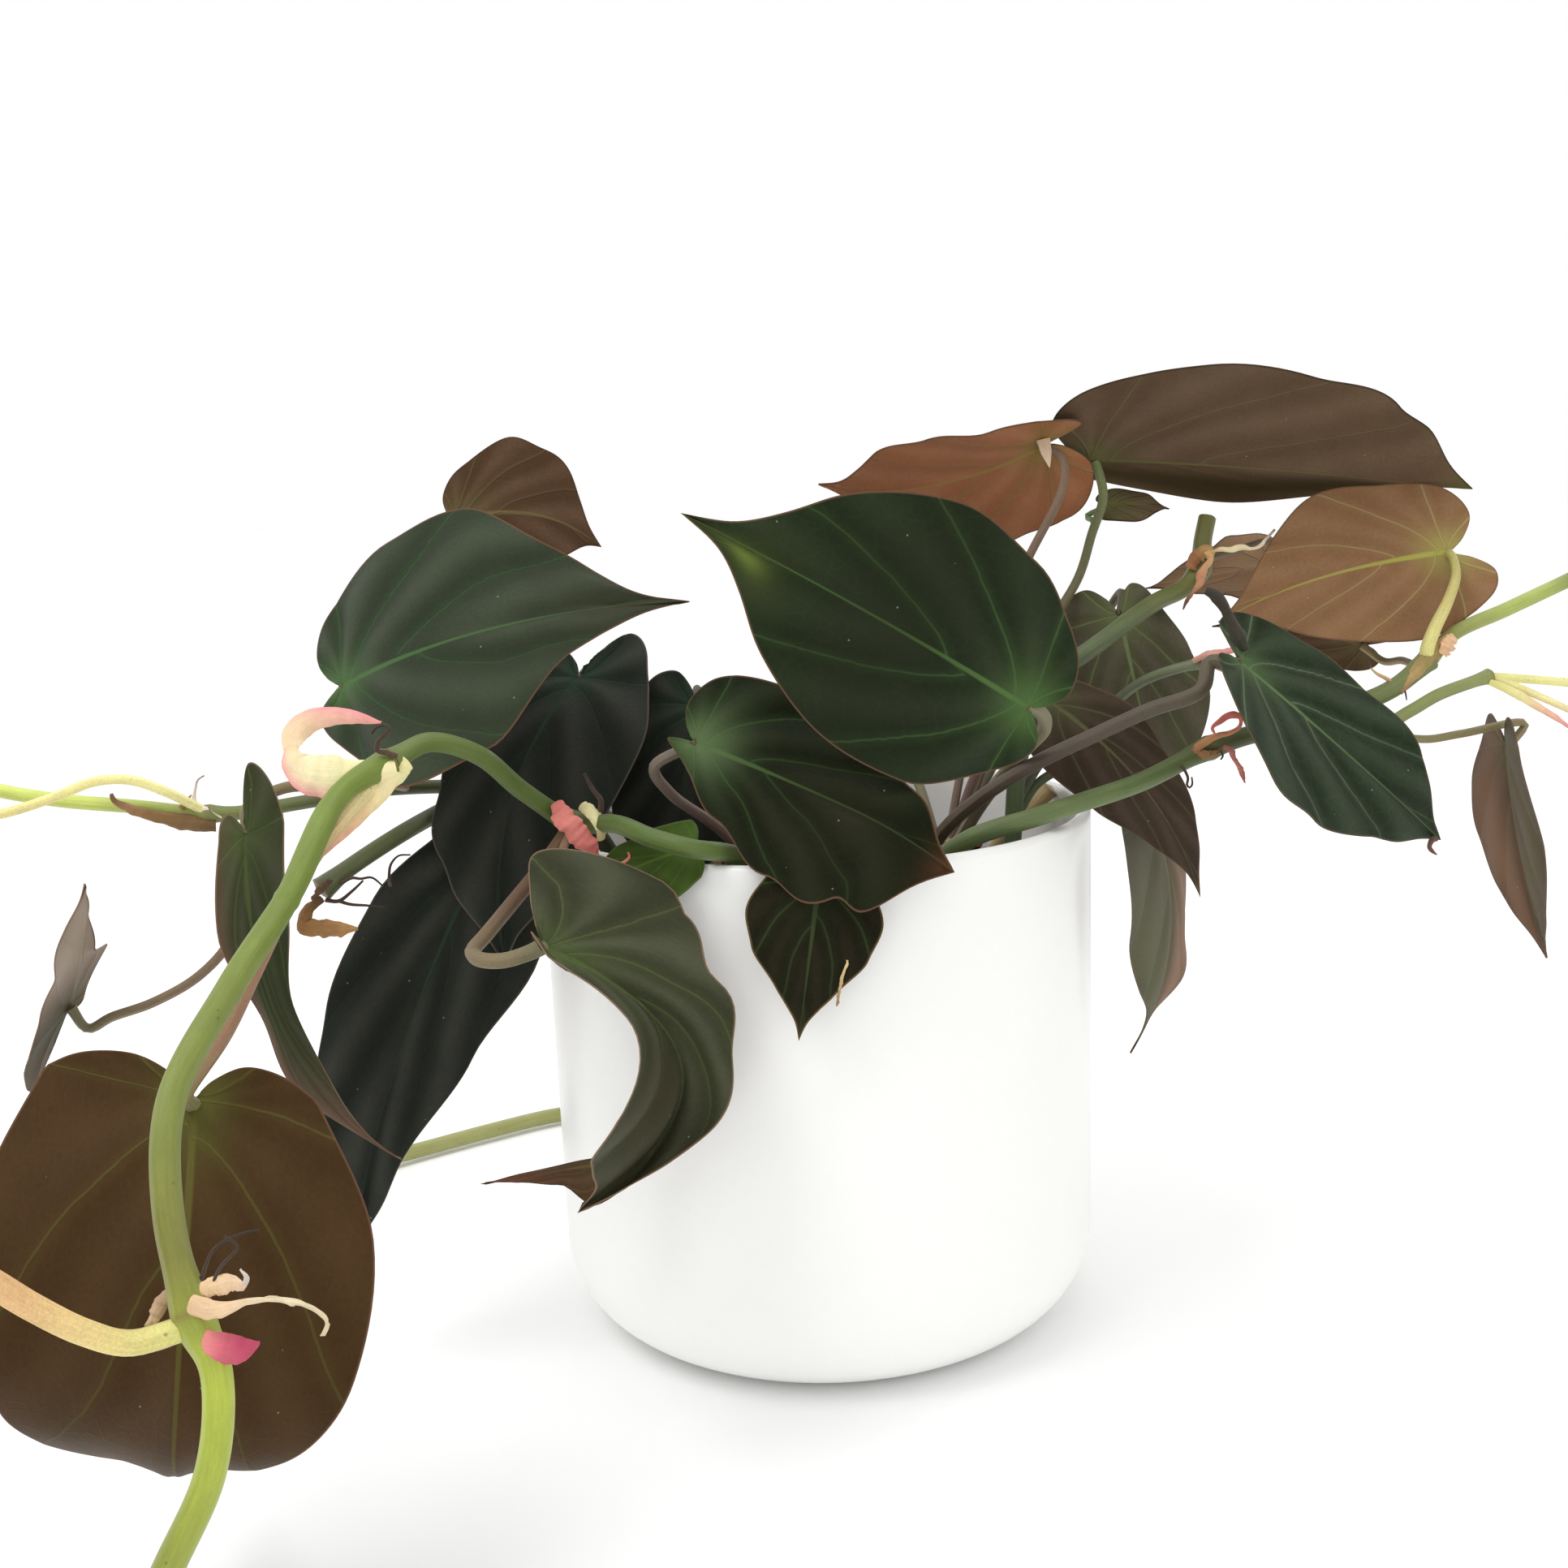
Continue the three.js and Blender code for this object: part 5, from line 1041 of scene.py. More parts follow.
        run([[-27, -2, 108], [-38, -4, 130], [-46, -7, 150]], 1.2, [(88, 92, 66)], leaf="leaf_hang_left"),
        run([[-26, -2, 108], [-23, -3, 128], [-24, -5, 143]], 1, [(74, 78, 60)], leaf="leaf_dark_inner"),
    ]},
    "crown_centre": {"slot": "stalk", "runs": [
        run(rooted([-10, -20], [[-10, -21, 111]]), 2.6, [(116, 104, 74), (130, 120, 80)]),
        run([[-10, -22, 107], [-22, -30, 122], [-31, -38, 131], [-34, -43, 138]], 1.2, [(116, 100, 86),
            (130, 108, 98), (110, 104, 88)], leaf="leaf_over_rim"),
        run([[-9, -22, 107], [-4, -45, 119], [-1, -57, 121.8], [-1, -61.5, 121.9], [-0.9, -64, 120.6],
            [-0.8, -65.1, 117.6]], 0.8, [(90, 96, 62)], look=1),
        run([[-10, -22, 107], [-15, -40, 117], [-19.5, -50, 120.6]], 0.8, [(116, 150, 78)],
            leaf="leaf_bright"),
    ]},
    "crown_right": {"slot": "stalk", "runs": [
        run(rooted([30, -8], [[30, -7, 112]]), 2.8, [(124, 108, 74), (140, 124, 84)]),
        run([[30, -8, 107], [37, -17, 122], [44, -30, 135], [48, -42, 143]], 1.5, [(116, 104, 80),
            (120, 116, 84)], leaf="leaf_centre"),
        run([[29, -10, 105], [26, -19, 112], [28, -24, 118], [36, -28, 126], [48, -32, 134], [60, -35, 140],
            [71, -36.5, 145], [82, -37, 149]], 1.6, [(88, 74, 56), (90, 76, 58), (76, 64, 52), (80, 70, 54),
            (92, 84, 64)], leaf="leaf_right_green"),
        run([[31, -6, 108], [44, 14, 126], [58, 30, 142], [71, 31, 155]], 1.1, [(104, 96, 76)],
            leaf="leaf_grey_heart"),
        run([[30, -7, 108], [38, -4, 128], [45, -3, 139], [50, -3, 145.5], [53.2, -5.6, 146.2],
            [53.8, -7.4, 144.6]], 1.1, [(104, 80, 70)], look=1),
        run([[30, -5, 108], [38, 6, 138], [50, 6, 172], [60, 6, 192]], 1, [(112, 92, 74), (120, 96, 76)],
            leaf="leaf_top_middle"),
        run([[31, -5, 108], [46, 10, 138], [58, 18, 158], [66, 21, 170], [69, 20, 180], [71.3, 17, 189],
            [70.2, 17.6, 195.2], [69.6, 18, 197.2]], 1.1, [(104, 84, 68), (110, 92, 72), (112, 124, 76)],
            look=1),
        run([[69, 20, 180], [70, 23, 183]], 0.7, [(110, 130, 76)], leaf="leaf_small_top"),
        run([[29, -5, 108], [24, 20, 126], [16, 38, 135]], 1.2, [(110, 104, 72)], leaf="leaf_back_middle"),
    ]},
    "cut_stem": {"slot": "cut_wood", "runs": [
        run(rooted([44, 14], [[50, 14, 112], [57.5, 14, 119.5]]), 1.8, [(150, 124, 84), (176, 150, 104),
            (198, 172, 124)], [(5, 0.2)]),
    ]},
}

for node, stem in stems.items():
    heap = Heap()
    for part in stem["runs"]:
        tubeAlong(heap, **part)
    heap.make("stem_" + node, [node], stemSkins, 40)
print("stems ready")


# Bracts and sheaths
paperForm = {
    "rows": 46, "columns": 13, "edgeThin": 0.6, "leastCup": 0.05, "jag": 0.25,
    "waves": ((1, 16), (1.6, 31), (2.4, 57)),  # divisor and rate of each sine wave along the edge
}


def stripAlong(heap, points, widths, tones, cup, seed, facing=(0, -1, 0.1), edge=None, thick=0.35, ruffle=0.0):
    # Thin strip along a curve: its half width follows the widths, its section is an arc, and its edge is
    # ruffled by three sine waves along it. Two skins and a closing rim.
    path, length, _ = throughPoints(points, 0.4)
    rows, columns = paperForm["rows"], paperForm["columns"]
    share, across = np.linspace(0, 1, rows), np.linspace(-1, 1, columns)
    path = np.stack([np.interp(share, length / length[-1], path[:, axis]) for axis in range(3)], 1)
    along = unit(np.gradient(path, axis=0))
    side = unit(np.cross(along, np.array(facing, float)))
    out = np.cross(side, along)
    half = readAlong(share, widths)
    cupAt = np.maximum(readAlong(share, np.atleast_1d(cup)), paperForm["leastCup"])
    reach = (half / cupAt)[:, None]
    bend = cupAt[:, None] * across[None, :]
    random = np.random.default_rng(seed)
    waves = sum(np.sin(share[:, None] * rate + random.uniform(0, 6) + across[None, :] * random.uniform(-2, 2))
                / order for order, rate in paperForm["waves"])
    lift = ruffle * waves * (0.35 + 0.65 * np.abs(across) ** 1.5)
    jag = 1 + paperForm["jag"] * ruffle * waves * np.abs(across) ** 3
    grid = path[:, None] + side[:, None] * (reach * np.sin(bend) * jag)[..., None]
    grid = grid + out[:, None] * (lift - reach * (1 - np.cos(bend)))[..., None]
    normal = unit(np.cross(np.gradient(grid, axis=1), np.gradient(grid, axis=0)))
    under = grid - normal * (thick * (1 - paperForm["edgeThin"] * np.abs(across) ** 4))[None, :, None]
    total = rows * columns
    quads = gridQuads(rows, columns)[0]
    number = np.arange(total).reshape(rows, columns)
    loop = np.concatenate([number[0, :-1], number[:-1, -1], number[-1, :0:-1], number[:0:-1, 0]])
    after = np.roll(loop, -1)
    rim = np.stack([after, loop, loop + total, after + total], 1)
    allQuads = np.concatenate([quads, quads[:, ::-1] + total, rim])
    place = np.stack([across[None, :] * half[:, None], share[:, None] * length[-1] + across * 0], -1) / 10
    place = np.tile(place.reshape(-1, 2), (2, 1))
    colour = readAlong(share, [paint(*tone) for tone in tones])[:, None] + np.zeros((1, columns, 1))
    if edge:
        weight = np.where(across * edge["side"] >= 0, np.abs(across), 0)[None, :, None] ** edge["reach"]
        weight = weight * readAlong(share, edge["along"])[:, None, None]
        colour = colour * (1 - weight) + np.array(paint(*edge["colour"])) * weight
    heap.add(np.concatenate([grid.reshape(-1, 3), under.reshape(-1, 3)]), allQuads, np.zeros((0, 3), int),
             place[allQuads], np.zeros((0, 2)), tone=np.tile(colour.reshape(-1, 4), (2, 1)))


def makeStrips(name, nodes, form):
    # One piece from all strips of a form
    heap = Heap()
    for strip in form["strips"]:
        stripAlong(heap, **strip)
    heap.make(name, nodes, [papers[form["look"]]], 70)


# Points are a strip's middle line, widths its half widths along it, facing what its outer side looks toward,
# cup half the angle of its arc, and tones its colours along it
cream = (238, 228, 176)
pinkEdge = {"side": -1, "reach": 1.6, "along": [0, 0.2, 0.9, 0.95, 0.8], "colour": (228, 140, 148)}
bracts = {
    "bract_front_top": {"look": "fresh", "strips": [
        {"points": [[-78.7, -85.4, 146.8], [-82.5, -86.6, 146.3], [-86.8, -87.8, 145.7], [-91, -88.4, 145.8],
         [-94.8, -88, 146.9], [-97.1, -87.2, 148.7], [-97.8, -86.6, 151.4]],
         "widths": [1.9, 2.6, 3.5, 4.4, 4.1, 3.2, 1.2], "facing": [-0.1, -1, 0.25],
         "cup": [1.2, 0.6, 0.4, 0.6], "tones": [cream, (236, 228, 172), (238, 230, 178), (240, 228, 184),
         (240, 214, 172)], "edge": pinkEdge, "ruffle": 0.16, "thick": 0.5, "seed": 3},
        {"points": [[-97.8, -86.4, 149.6], [-97.6, -85.8, 152.6], [-96.1, -85.4, 154.6],
         [-93.7, -85.4, 155.9], [-90.2, -85.6, 156.5], [-86, -86, 156.3], [-82.7, -86.2, 155.7],
         [-80.6, -86.4, 155.3]], "widths": [1.1, 2.2, 2.6, 2.3, 2.0, 1.7, 1.1, 0.2],
         "facing": [-0.2, -1, -0.1], "cup": [0.4, 0.9, 0.9], "tones": [(240, 214, 172), (238, 208, 168),
         (232, 184, 160), (230, 168, 152), (226, 150, 142)], "edge": pinkEdge, "ruffle": 0.1, "thick": 0.5,
         "seed": 4},
        {"points": [[-77.2, -81.8, 147.4], [-80.8, -84.6, 144.8], [-84.4, -85.4, 147]],
         "widths": [2.2, 3.0, 2.4], "facing": [0.1, -1, 0.2], "cup": 1.2, "tones": [(236, 226, 166),
         (226, 226, 160), cream], "ruffle": 0.12, "seed": 5},
        {"points": [[-79.2, -85.2, 146.2], [-81.6, -86, 142.6], [-85.2, -87, 139], [-89.4, -88.6, 134.8],
         [-92.4, -90, 131.6]], "widths": [2.2, 2.2, 1.9, 1.4, 0.4], "facing": [0.3, -1, 0.1], "cup": 0.9,
         "tones": [cream, (238, 218, 164), (224, 176, 140), (208, 150, 126)], "ruffle": 0.1, "seed": 6},
    ]},
    "bract_front_rim": {"look": "fresh", "strips": [
        {"points": [[-54.4, -50.2, 132.4], [-53, -51.6, 130.4], [-50.8, -52, 127.4], [-48.4, -51.6, 124.4],
         [-46.2, -51, 121]], "widths": [1.3, 2.7, 3.1, 2.6, 0.7], "facing": [0.15, -1, 0.15],
         "cup": [0.4, 1.3, 0.5], "tones": [(214, 120, 110), (228, 136, 126), (218, 124, 114),
         (206, 106, 104)], "ruffle": 0.42, "seed": 8},
        {"points": [[-49.4, -46.6, 131.4], [-46.4, -49.4, 129.6], [-44.8, -49.8, 126.6], [-45.4, -48, 123.6]],
         "widths": [1.4, 1.7, 1.6, 1.0], "facing": [0.6, -1, 0], "cup": 0.9, "tones": [(224, 216, 158),
         (226, 220, 166), (212, 200, 140)], "ruffle": 0.18, "seed": 9},
        {"points": [[-47.6, -51.6, 120.4], [-45.5, -53, 119.7], [-43, -53, 119.6], [-40.7, -53, 119.8],
         [-39.3, -53, 121.1], [-39.6, -53, 122]], "widths": [0.4, 0.6, 0.6, 0.5, 0.4, 0.2],
         "facing": [0, -1, 0.2], "cup": 0.8, "tones": [(224, 160, 130), (222, 120, 116)], "seed": 10},
    ]},
    "bract_front_low": {"look": "dry", "strips": [
        {"points": [[-96, -169.8, 82.6], [-92.9, -171.6, 82.3], [-89.9, -172, 82.8], [-87.1, -172, 83.6],
         [-83.1, -172, 83.8], [-79.6, -172.4, 83.4], [-77, -173, 82.5], [-75.4, -173.5, 81],
         [-75.8, -174.5, 79.3]], "widths": [1.5, 1.9, 1.3, 0.8, 0.7, 0.8, 0.6, 0.65, 0.35],
         "facing": [0, -1, 0.3], "cup": [0.6, 1.2, 1.8, 1.9, 1.4], "tones": [(226, 190, 150), (232, 200, 162),
         (226, 206, 172), (220, 204, 170), (214, 192, 156)], "ruffle": 0.38, "seed": 12},
        {"points": [[-94.4, -169.6, 84.4], [-91.6, -170.6, 85.4], [-89.4, -171, 86], [-87.3, -171.2, 85.4]],
         "widths": [1.2, 1.7, 1.6, 0.5], "cup": 0.8, "tones": [(234, 196, 150), (232, 200, 160),
         (220, 190, 160)], "ruffle": 0.2, "seed": 13},
        {"points": [[-87.7, -171, 85.3], [-87, -171, 86.8], [-87.8, -171, 88.2]], "widths": [0.5, 0.5, 0.15],
         "facing": [0, -1, 0], "cup": 1, "tones": [(206, 192, 180), (214, 204, 190)], "seed": 14},
        {"points": [[-98.4, -165.2, 81.4], [-101, -165.4, 81.6], [-102.6, -165.8, 79.4],
         [-104.2, -166.4, 76.6]], "widths": [1.0, 1.5, 1.3, 0.4], "facing": [0, -1, 0.2], "cup": 1.2,
         "tones": [(150, 124, 96), (190, 160, 128), (206, 180, 146)], "ruffle": 0.3, "seed": 15},
    ]},
    "bract_front_red": {"look": "fresh", "strips": [
        {"points": [[-97.4, -168.6, 76.4], [-94, -170.6, 76.2], [-90.6, -171.4, 76], [-88.3, -172, 76.4],
         [-85.6, -172.6, 77.5]], "widths": [1.2, 2.4, 2.6, 2.0, 0.3], "facing": [0, -1, 0.3], "cup": 0.7,
         "tones": [(238, 150, 140), (232, 144, 138), (208, 100, 116), (186, 70, 98), (176, 62, 92)],
         "ruffle": 0.15, "seed": 16},
        {"points": [[-98.4, -168, 77.4], [-100.4, -168.4, 76], [-102, -168.4, 75]], "widths": [0.8, 0.9, 0.3],
         "facing": [0, -1, 0.3], "cup": 0.7, "tones": [(240, 150, 138), (238, 160, 146)], "seed": 17},
    ]},
    "sheath_left": {"look": "dry", "strips": [
        {"points": [[-157, -19.6, 132.6], [-156.3, -20, 130.8], [-153.6, -20.3, 129.4], [-148, -20.6, 127.2],
         [-142, -20.8, 125.9], [-137, -20.8, 124.9], [-134.2, -20.2, 124.6]],
         "widths": [0.5, 1.3, 1.6, 2.2, 2.9, 3.1, 2.9], "cup": [0.8, 1.4, 1.6, 1.6, 1.9],
         "tones": [(118, 84, 62), (150, 116, 78), (138, 104, 66), (128, 98, 58), (122, 94, 58),
         (104, 78, 50)], "ruffle": 0.32, "seed": 18},
        {"points": [[-141.8, -19.6, 128.6], [-140.6, -19.4, 130.1], [-139.3, -19.2, 131.6]],
         "widths": [0.8, 0.6, 0.15], "facing": [0, -1, 0], "cup": 0.8, "tones": [(150, 116, 66),
         (176, 132, 78)], "seed": 19},
        {"points": [[-135.6, -19.8, 128.2], [-138.3, -19.6, 128.8], [-138.9, -19.2, 130.7],
         [-138.4, -19, 133], [-137.7, -19, 134.8], [-136.2, -19, 135.8]],
         "widths": [0.9, 1.2, 0.9, 0.55, 0.4, 0.2], "cup": 1.7, "tones": [(236, 222, 210), (236, 226, 214),
         (220, 206, 196), (120, 96, 90)], "seed": 20},
        {"points": [[-135.4, -20.4, 128.9], [-134.3, -20.6, 127.6], [-132.6, -20.6, 126.4]],
         "widths": [0.25, 0.3, 0.3], "cup": 1.4, "tones": [(110, 92, 60), (224, 216, 190)], "seed": 21},
    ]},
    "bract_low_left": {"look": "dry", "strips": [
        {"points": [[-104.2, -48.4, 113.6], [-107.6, -49.6, 111.2], [-108.2, -50.2, 108.8],
         [-104.6, -50.8, 107.6], [-100.6, -51, 107.6], [-96.8, -51, 107.4]],
         "widths": [1.0, 1.7, 2.2, 2.3, 1.7, 0.4], "cup": [1.4, 1.2, 0.8, 0.7], "tones": [(96, 70, 46),
         (146, 104, 62), (176, 132, 82), (170, 126, 80), (186, 140, 88)], "ruffle": 0.5, "seed": 22},
        {"points": [[-102.2, -48.6, 117.6], [-104.6, -49, 115.6], [-106.4, -48.6, 113.4]],
         "widths": [0.7, 1.1, 0.6], "facing": [0, -1, 0.2], "cup": 1.3, "tones": [(90, 66, 48),
         (116, 88, 60)], "ruffle": 0.4, "seed": 23},
    ]},
    "sheath_right": {"look": "dry", "strips": [
        {"points": [[134, -9.8, 143.4], [137.6, -8.8, 146.6], [141, -7.6, 149.6], [144.4, -6.2, 152.4],
         [147.4, -5, 154.2]], "widths": [2.2, 2.6, 3.0, 2.8, 2.0], "facing": [0.1, -1, -0.15],
         "cup": [1.9, 1.8, 1.5, 1.2], "tones": [(164, 128, 84), (176, 146, 96), (150, 132, 78),
         (160, 138, 84), (216, 178, 136)], "ruffle": 0.26, "seed": 24},
        {"points": [[144.2, -7.6, 151], [145.6, -7.4, 153], [147, -6.8, 155]], "widths": [1.2, 2.3, 1.4],
         "facing": [0.2, -1, -0.1], "cup": 0.8, "tones": [(216, 176, 136), (222, 184, 146)], "ruffle": 0.3,
         "seed": 25},
        {"points": [[133.4, -9, 144.6], [130.9, -8.6, 146.3], [129, -8, 147.4], [127.6, -7.6, 148.8]],
         "widths": [0.5, 0.75, 0.6, 0.3], "facing": [0, -1, 0], "cup": 1.6, "tones": [(176, 130, 96),
         (200, 164, 120), (206, 176, 130)], "seed": 26},
    ]},
    "bract_right_red": {"look": "dry", "strips": [
        {"points": [[83.4, -26, 134.6], [85.6, -26.6, 136.2], [88.2, -27, 137.6], [91, -27.2, 138.2],
         [93, -27.2, 139.6], [92.8, -27.4, 141.6], [90.6, -27.6, 142], [88.4, -27.8, 140.8],
         [86.6, -28, 139.4], [87.2, -28, 138]], "widths": [1.2, 1.3, 0.8, 0.8, 0.6, 0.6, 1.0, 1.0, 0.6, 0.2],
         "facing": [0, -1, 0.2], "cup": 1.2, "tones": [(160, 116, 76), (176, 130, 88), (186, 110, 92),
         (190, 100, 92), (196, 108, 98)], "ruffle": 0.24, "seed": 27},
        {"points": [[89.4, -26.4, 135], [91, -27, 134.2], [91.4, -27.6, 132.8], [92.3, -28, 131.2],
         [93.2, -28, 129.4], [93.8, -28, 127]], "widths": [0.6, 0.9, 0.7, 0.7, 0.9, 0.2], "cup": 1.3,
         "tones": [(156, 96, 84), (190, 120, 108), (176, 100, 96)], "ruffle": 0.24, "seed": 28},
        {"points": [[82.6, -25.4, 134.4], [85, -26.4, 133], [87.4, -26.2, 133], [89.6, -25.4, 134]],
         "widths": [1.4, 1.7, 1.4, 0.6], "facing": [0, -1, -0.4], "cup": 1.5, "tones": [(150, 104, 70),
         (136, 100, 60), (120, 92, 56)], "ruffle": 0.3, "seed": 29},
    ]},
    "bract_upper_right": {"look": "dry", "strips": [
        {"points": [[91.2, 12.6, 171.4], [92.6, 12, 173.8], [95, 12.2, 175.4], [97.2, 13.4, 174.6]],
         "widths": [1.8, 2.5, 2.4, 1.6], "facing": [0.1, -1, 0], "cup": 1.5, "tones": [(170, 116, 74),
         (150, 104, 66), (186, 146, 92), (200, 162, 104)], "ruffle": 0.36, "seed": 30},
        {"points": [[95.6, 11, 175.2], [97.8, 10.4, 175.9], [100.2, 10, 175.8], [102.6, 10, 176.2],
         [104.8, 10, 175.8], [106.8, 10, 176.3], [108.4, 10, 177.9], [110.2, 9.6, 180.1]],
         "widths": [0.3, 0.8, 1.0, 1.1, 0.5, 0.6, 0.6, 0.25], "cup": 1.4, "tones": [(214, 180, 130),
         (232, 214, 170), (230, 212, 168), (226, 206, 170), (214, 196, 170), (120, 104, 90)], "ruffle": 0.3,
         "seed": 31},
        {"points": [[94.6, 10.4, 175.6], [95.3, 10, 173.6], [93.9, 9.6, 171.6], [92.9, 9.4, 169.9],
         [92.6, 9.2, 168.2], [91, 9.2, 166.1], [89.7, 9.4, 164.4], [88.7, 9.6, 162.1]],
         "widths": [1.0, 0.9, 1.2, 1.4, 1.0, 0.5, 0.6, 0.15], "cup": 1.2, "tones": [(206, 164, 110),
         (204, 160, 112), (196, 138, 104), (192, 140, 100), (140, 92, 70), (90, 72, 60)], "ruffle": 0.34,
         "seed": 32},
    ]},
    "bract_side_shoot": {"look": "fresh", "strips": [
        {"points": [[88.4, -1.6, 151.2], [91, -3, 152.8], [94.4, -4.2, 153.4], [98, -5, 153.8],
         [100.4, -5.4, 153]], "widths": [0.8, 1.1, 1.2, 0.9, 0.3], "facing": [0, -1, 0.6], "cup": 1.2,
         "tones": [(206, 150, 128), (220, 162, 146), (224, 150, 142), (226, 170, 150)], "ruffle": 0.14,
         "seed": 33},
        {"points": [[91.6, -1.8, 150.2], [94.6, -2.6, 149.4], [97.6, -3.2, 147.8]], "widths": [0.5, 0.9, 0.3],
         "facing": [0, -1, 0.2], "cup": 1.2, "tones": [(230, 196, 170), (226, 160, 150)], "ruffle": 0.1,
         "seed": 34},
    ]},
    "bract_right_tip": {"look": "fresh", "strips": [
        {"points": [[156.4, -4, 144.2], [160, -5.6, 142.6], [165, -7.6, 139.4], [170, -9.4, 135.8],
         [174, -10.6, 132.6]], "widths": [1.1, 1.5, 1.3, 0.9, 0.3], "facing": [0, -1, 0.3], "cup": 1.3,
         "tones": [(214, 206, 130), (226, 216, 150), (228, 176, 150), (222, 140, 140)], "ruffle": 0.12,
         "seed": 35},
    ]},
}
torn = {
    "look": "dry", "strips": [
        {"points": [[82.6, -38.5, 170.2], [84.4, -38.4, 169.3], [86.3, -38.2, 166.9], [87.7, -38, 164.1],
         [89.6, -37.6, 160.3], [91.4, -37.2, 157]], "widths": [1.2, 2.0, 1.5, 1.7, 2.6, 1.2],
         "facing": [-0.2, -1, 0.2], "cup": 1.4, "tones": [(58, 50, 42), (54, 48, 38), (62, 56, 44),
         (50, 54, 40)], "seed": 40},
        {"points": [[132, -40, 115.8], [130.6, -40.6, 115.4], [129.9, -41, 114], [130.7, -41, 112.9],
         [131.5, -41, 112.3]], "widths": [0.9, 0.8, 0.6, 0.5, 0.15], "facing": [0, -1, 0], "cup": 0.8,
         "tones": [(96, 72, 60), (104, 70, 62)], "seed": 41},
        {"points": [[56, 8.6, 202.9], [56.6, 8.2, 200], [57.3, 8, 196.4]], "widths": [1.7, 1.3, 0.15],
         "cup": 0.5, "tones": [(206, 176, 146), (224, 204, 178)], "seed": 42},
        {"points": [[4.3, -71.4, 102.5], [3.1, -71.5, 99.2], [2.4, -71.6, 96.2], [1.8, -71.6, 93.3]],
         "widths": [0.15, 0.35, 0.35, 0.2], "facing": [0, -1, 0], "cup": 0.8, "tones": [(226, 206, 150),
         (196, 166, 116), (150, 116, 78)], "ruffle": 0.2, "seed": 43},
    ]}

makeStrips("torn_bits", [], torn)
for node, bract in bracts.items():
    makeStrips("skin_" + node, [node], bract)
print("bracts ready")


# Aerial roots at the joints: radius and path of each
rootlets = {
    "tone": [(84, 62, 44), (66, 48, 36), (50, 38, 30)],
    "roots": [
        (0.55, [[-78.6, -84.4, 148.6], [-80.4, -85, 149.4], [-81.9, -85.2, 149.9], [-81.7, -85.4, 151.6],
            [-80.2, -85.4, 153], [-79.4, -85.2, 154], [-80.3, -85, 154.6], [-82, -85, 154.1],
            [-82.8, -85, 153.1]]),
        (0.75, [[-45.6, -46.8, 128.6], [-44.9, -49, 131.3], [-45, -50, 132.9], [-46.2, -50.4, 134.7],
            [-47, -50.6, 136.3], [-47.9, -50.6, 138.3]]),
        (0.4, [[-46, -46.6, 125.4], [-44.8, -48.6, 126.4], [-44.3, -50, 127.2], [-43.4, -50, 127.3]]),
        (0.4, [[-101.4, -45.6, 116.2], [-100.4, -46.4, 116.4], [-98.1, -46.8, 117.4], [-96.3, -47, 117.2],
            [-94.1, -46.6, 117.3], [-92, -45.6, 115.1]]),
        (0.5, [[-104, -46.6, 112.8], [-101.1, -47.4, 112.7], [-98.3, -47.2, 114.6], [-95.8, -47, 116.8]]),
        (0.4, [[-101.1, -47.4, 112.7], [-98.9, -47, 111.8], [-95.3, -46.6, 111.3], [-92, -46, 110.6]]),
        (0.4, [[-91.8, -40, 114], [-91.3, -42.6, 116.3], [-90.7, -43, 119.1], [-88.9, -43, 121],
            [-86.6, -42, 120.9]]),
        (0.4, [[79.8, -26.6, 131.4], [80.4, -28.6, 130.5], [81.1, -29, 128.7], [80.9, -29, 127.2],
            [81.5, -29, 126.6], [82, -29, 127.3], [81.9, -29, 128.9]]),
        (0.4, [[88.6, -23.6, 133.6], [89, -26, 133.8], [89.2, -27, 133], [88.7, -27, 132.2]]),
        (0.3, [[127.8, -7.4, 148.6], [127.2, -7, 149.9], [126.5, -7, 150.9]]),
        (0.3, [[135, -8.4, 144], [135.1, -9.4, 142.8], [135.3, -9.6, 141.3]]),
        (0.4, [[-94.8, -168.8, 80], [-91, -170, 88], [-88.4, -169.4, 91], [-90.4, -168.6, 92.4]]),
        (0.35, [[-96.6, -163.8, 82.4], [-93.4, -164.6, 88.6], [-90, -164.6, 90.6], [-86.6, -164.6, 91.4]]),
        (0.4, [[-28, 96.4, 84], [-31, 99, 82], [-35, 100, 78], [-36, 101, 72], [-33, 102, 69]]),
    ],
}
heap = Heap()
for radius, points in rootlets["roots"]:
    tubeAlong(heap, points, radius, rootlets["tone"], 8, spacing=0.5, ridge=0.1, ends=(1, 0.45))
heap.make("air_roots", [], [rootSkin], 60)
print("roots ready")


# Pot, potting mix and bark chips
pot = {
    "radius": 64, "height": 120, "wall": 3, "floor": 5, "corner": 20, "taper": 0.8, "rim": 1.5, "sides": 144,
    "flatRings": [3, 14, 28],  # radii of the rings across the flat foot and floor
}
mix = {"radius": 60.6, "top": 99, "bottom": 6.0, "lump": 1.6, "grain": 0.9, "rings": 84, "sides": 150,
       "seed": 4}
chips = {
    "count": 190, "spread": 57, "small": [1.6, 0.8, 0.4], "large": [4.6, 2.2, 1.1], "jag": 0.22, "bend": 0.3,
    "seed": 11,
}


def arc(radius, height, size, low, high, count):
    # Round corner of a profile, from one angle in degrees to another
    turn = np.radians(np.linspace(low, high, count))
    return np.stack([radius + size * np.cos(turn), height + size * np.sin(turn)], 1)


def wall(start, end, count):
    # Straight run of a profile, without its two ends
    return np.linspace(start, end, count)[1:-1]


def spinProfile(profile, sides):
    # Profile of (radius, height) carried round the upright axis
    turn = np.arange(sides) * 2 * np.pi / sides
    return np.stack([profile[:, :1] * np.cos(turn), profile[:, :1] * np.sin(turn),
                     profile[:, 1:] + np.zeros(sides)], -1)


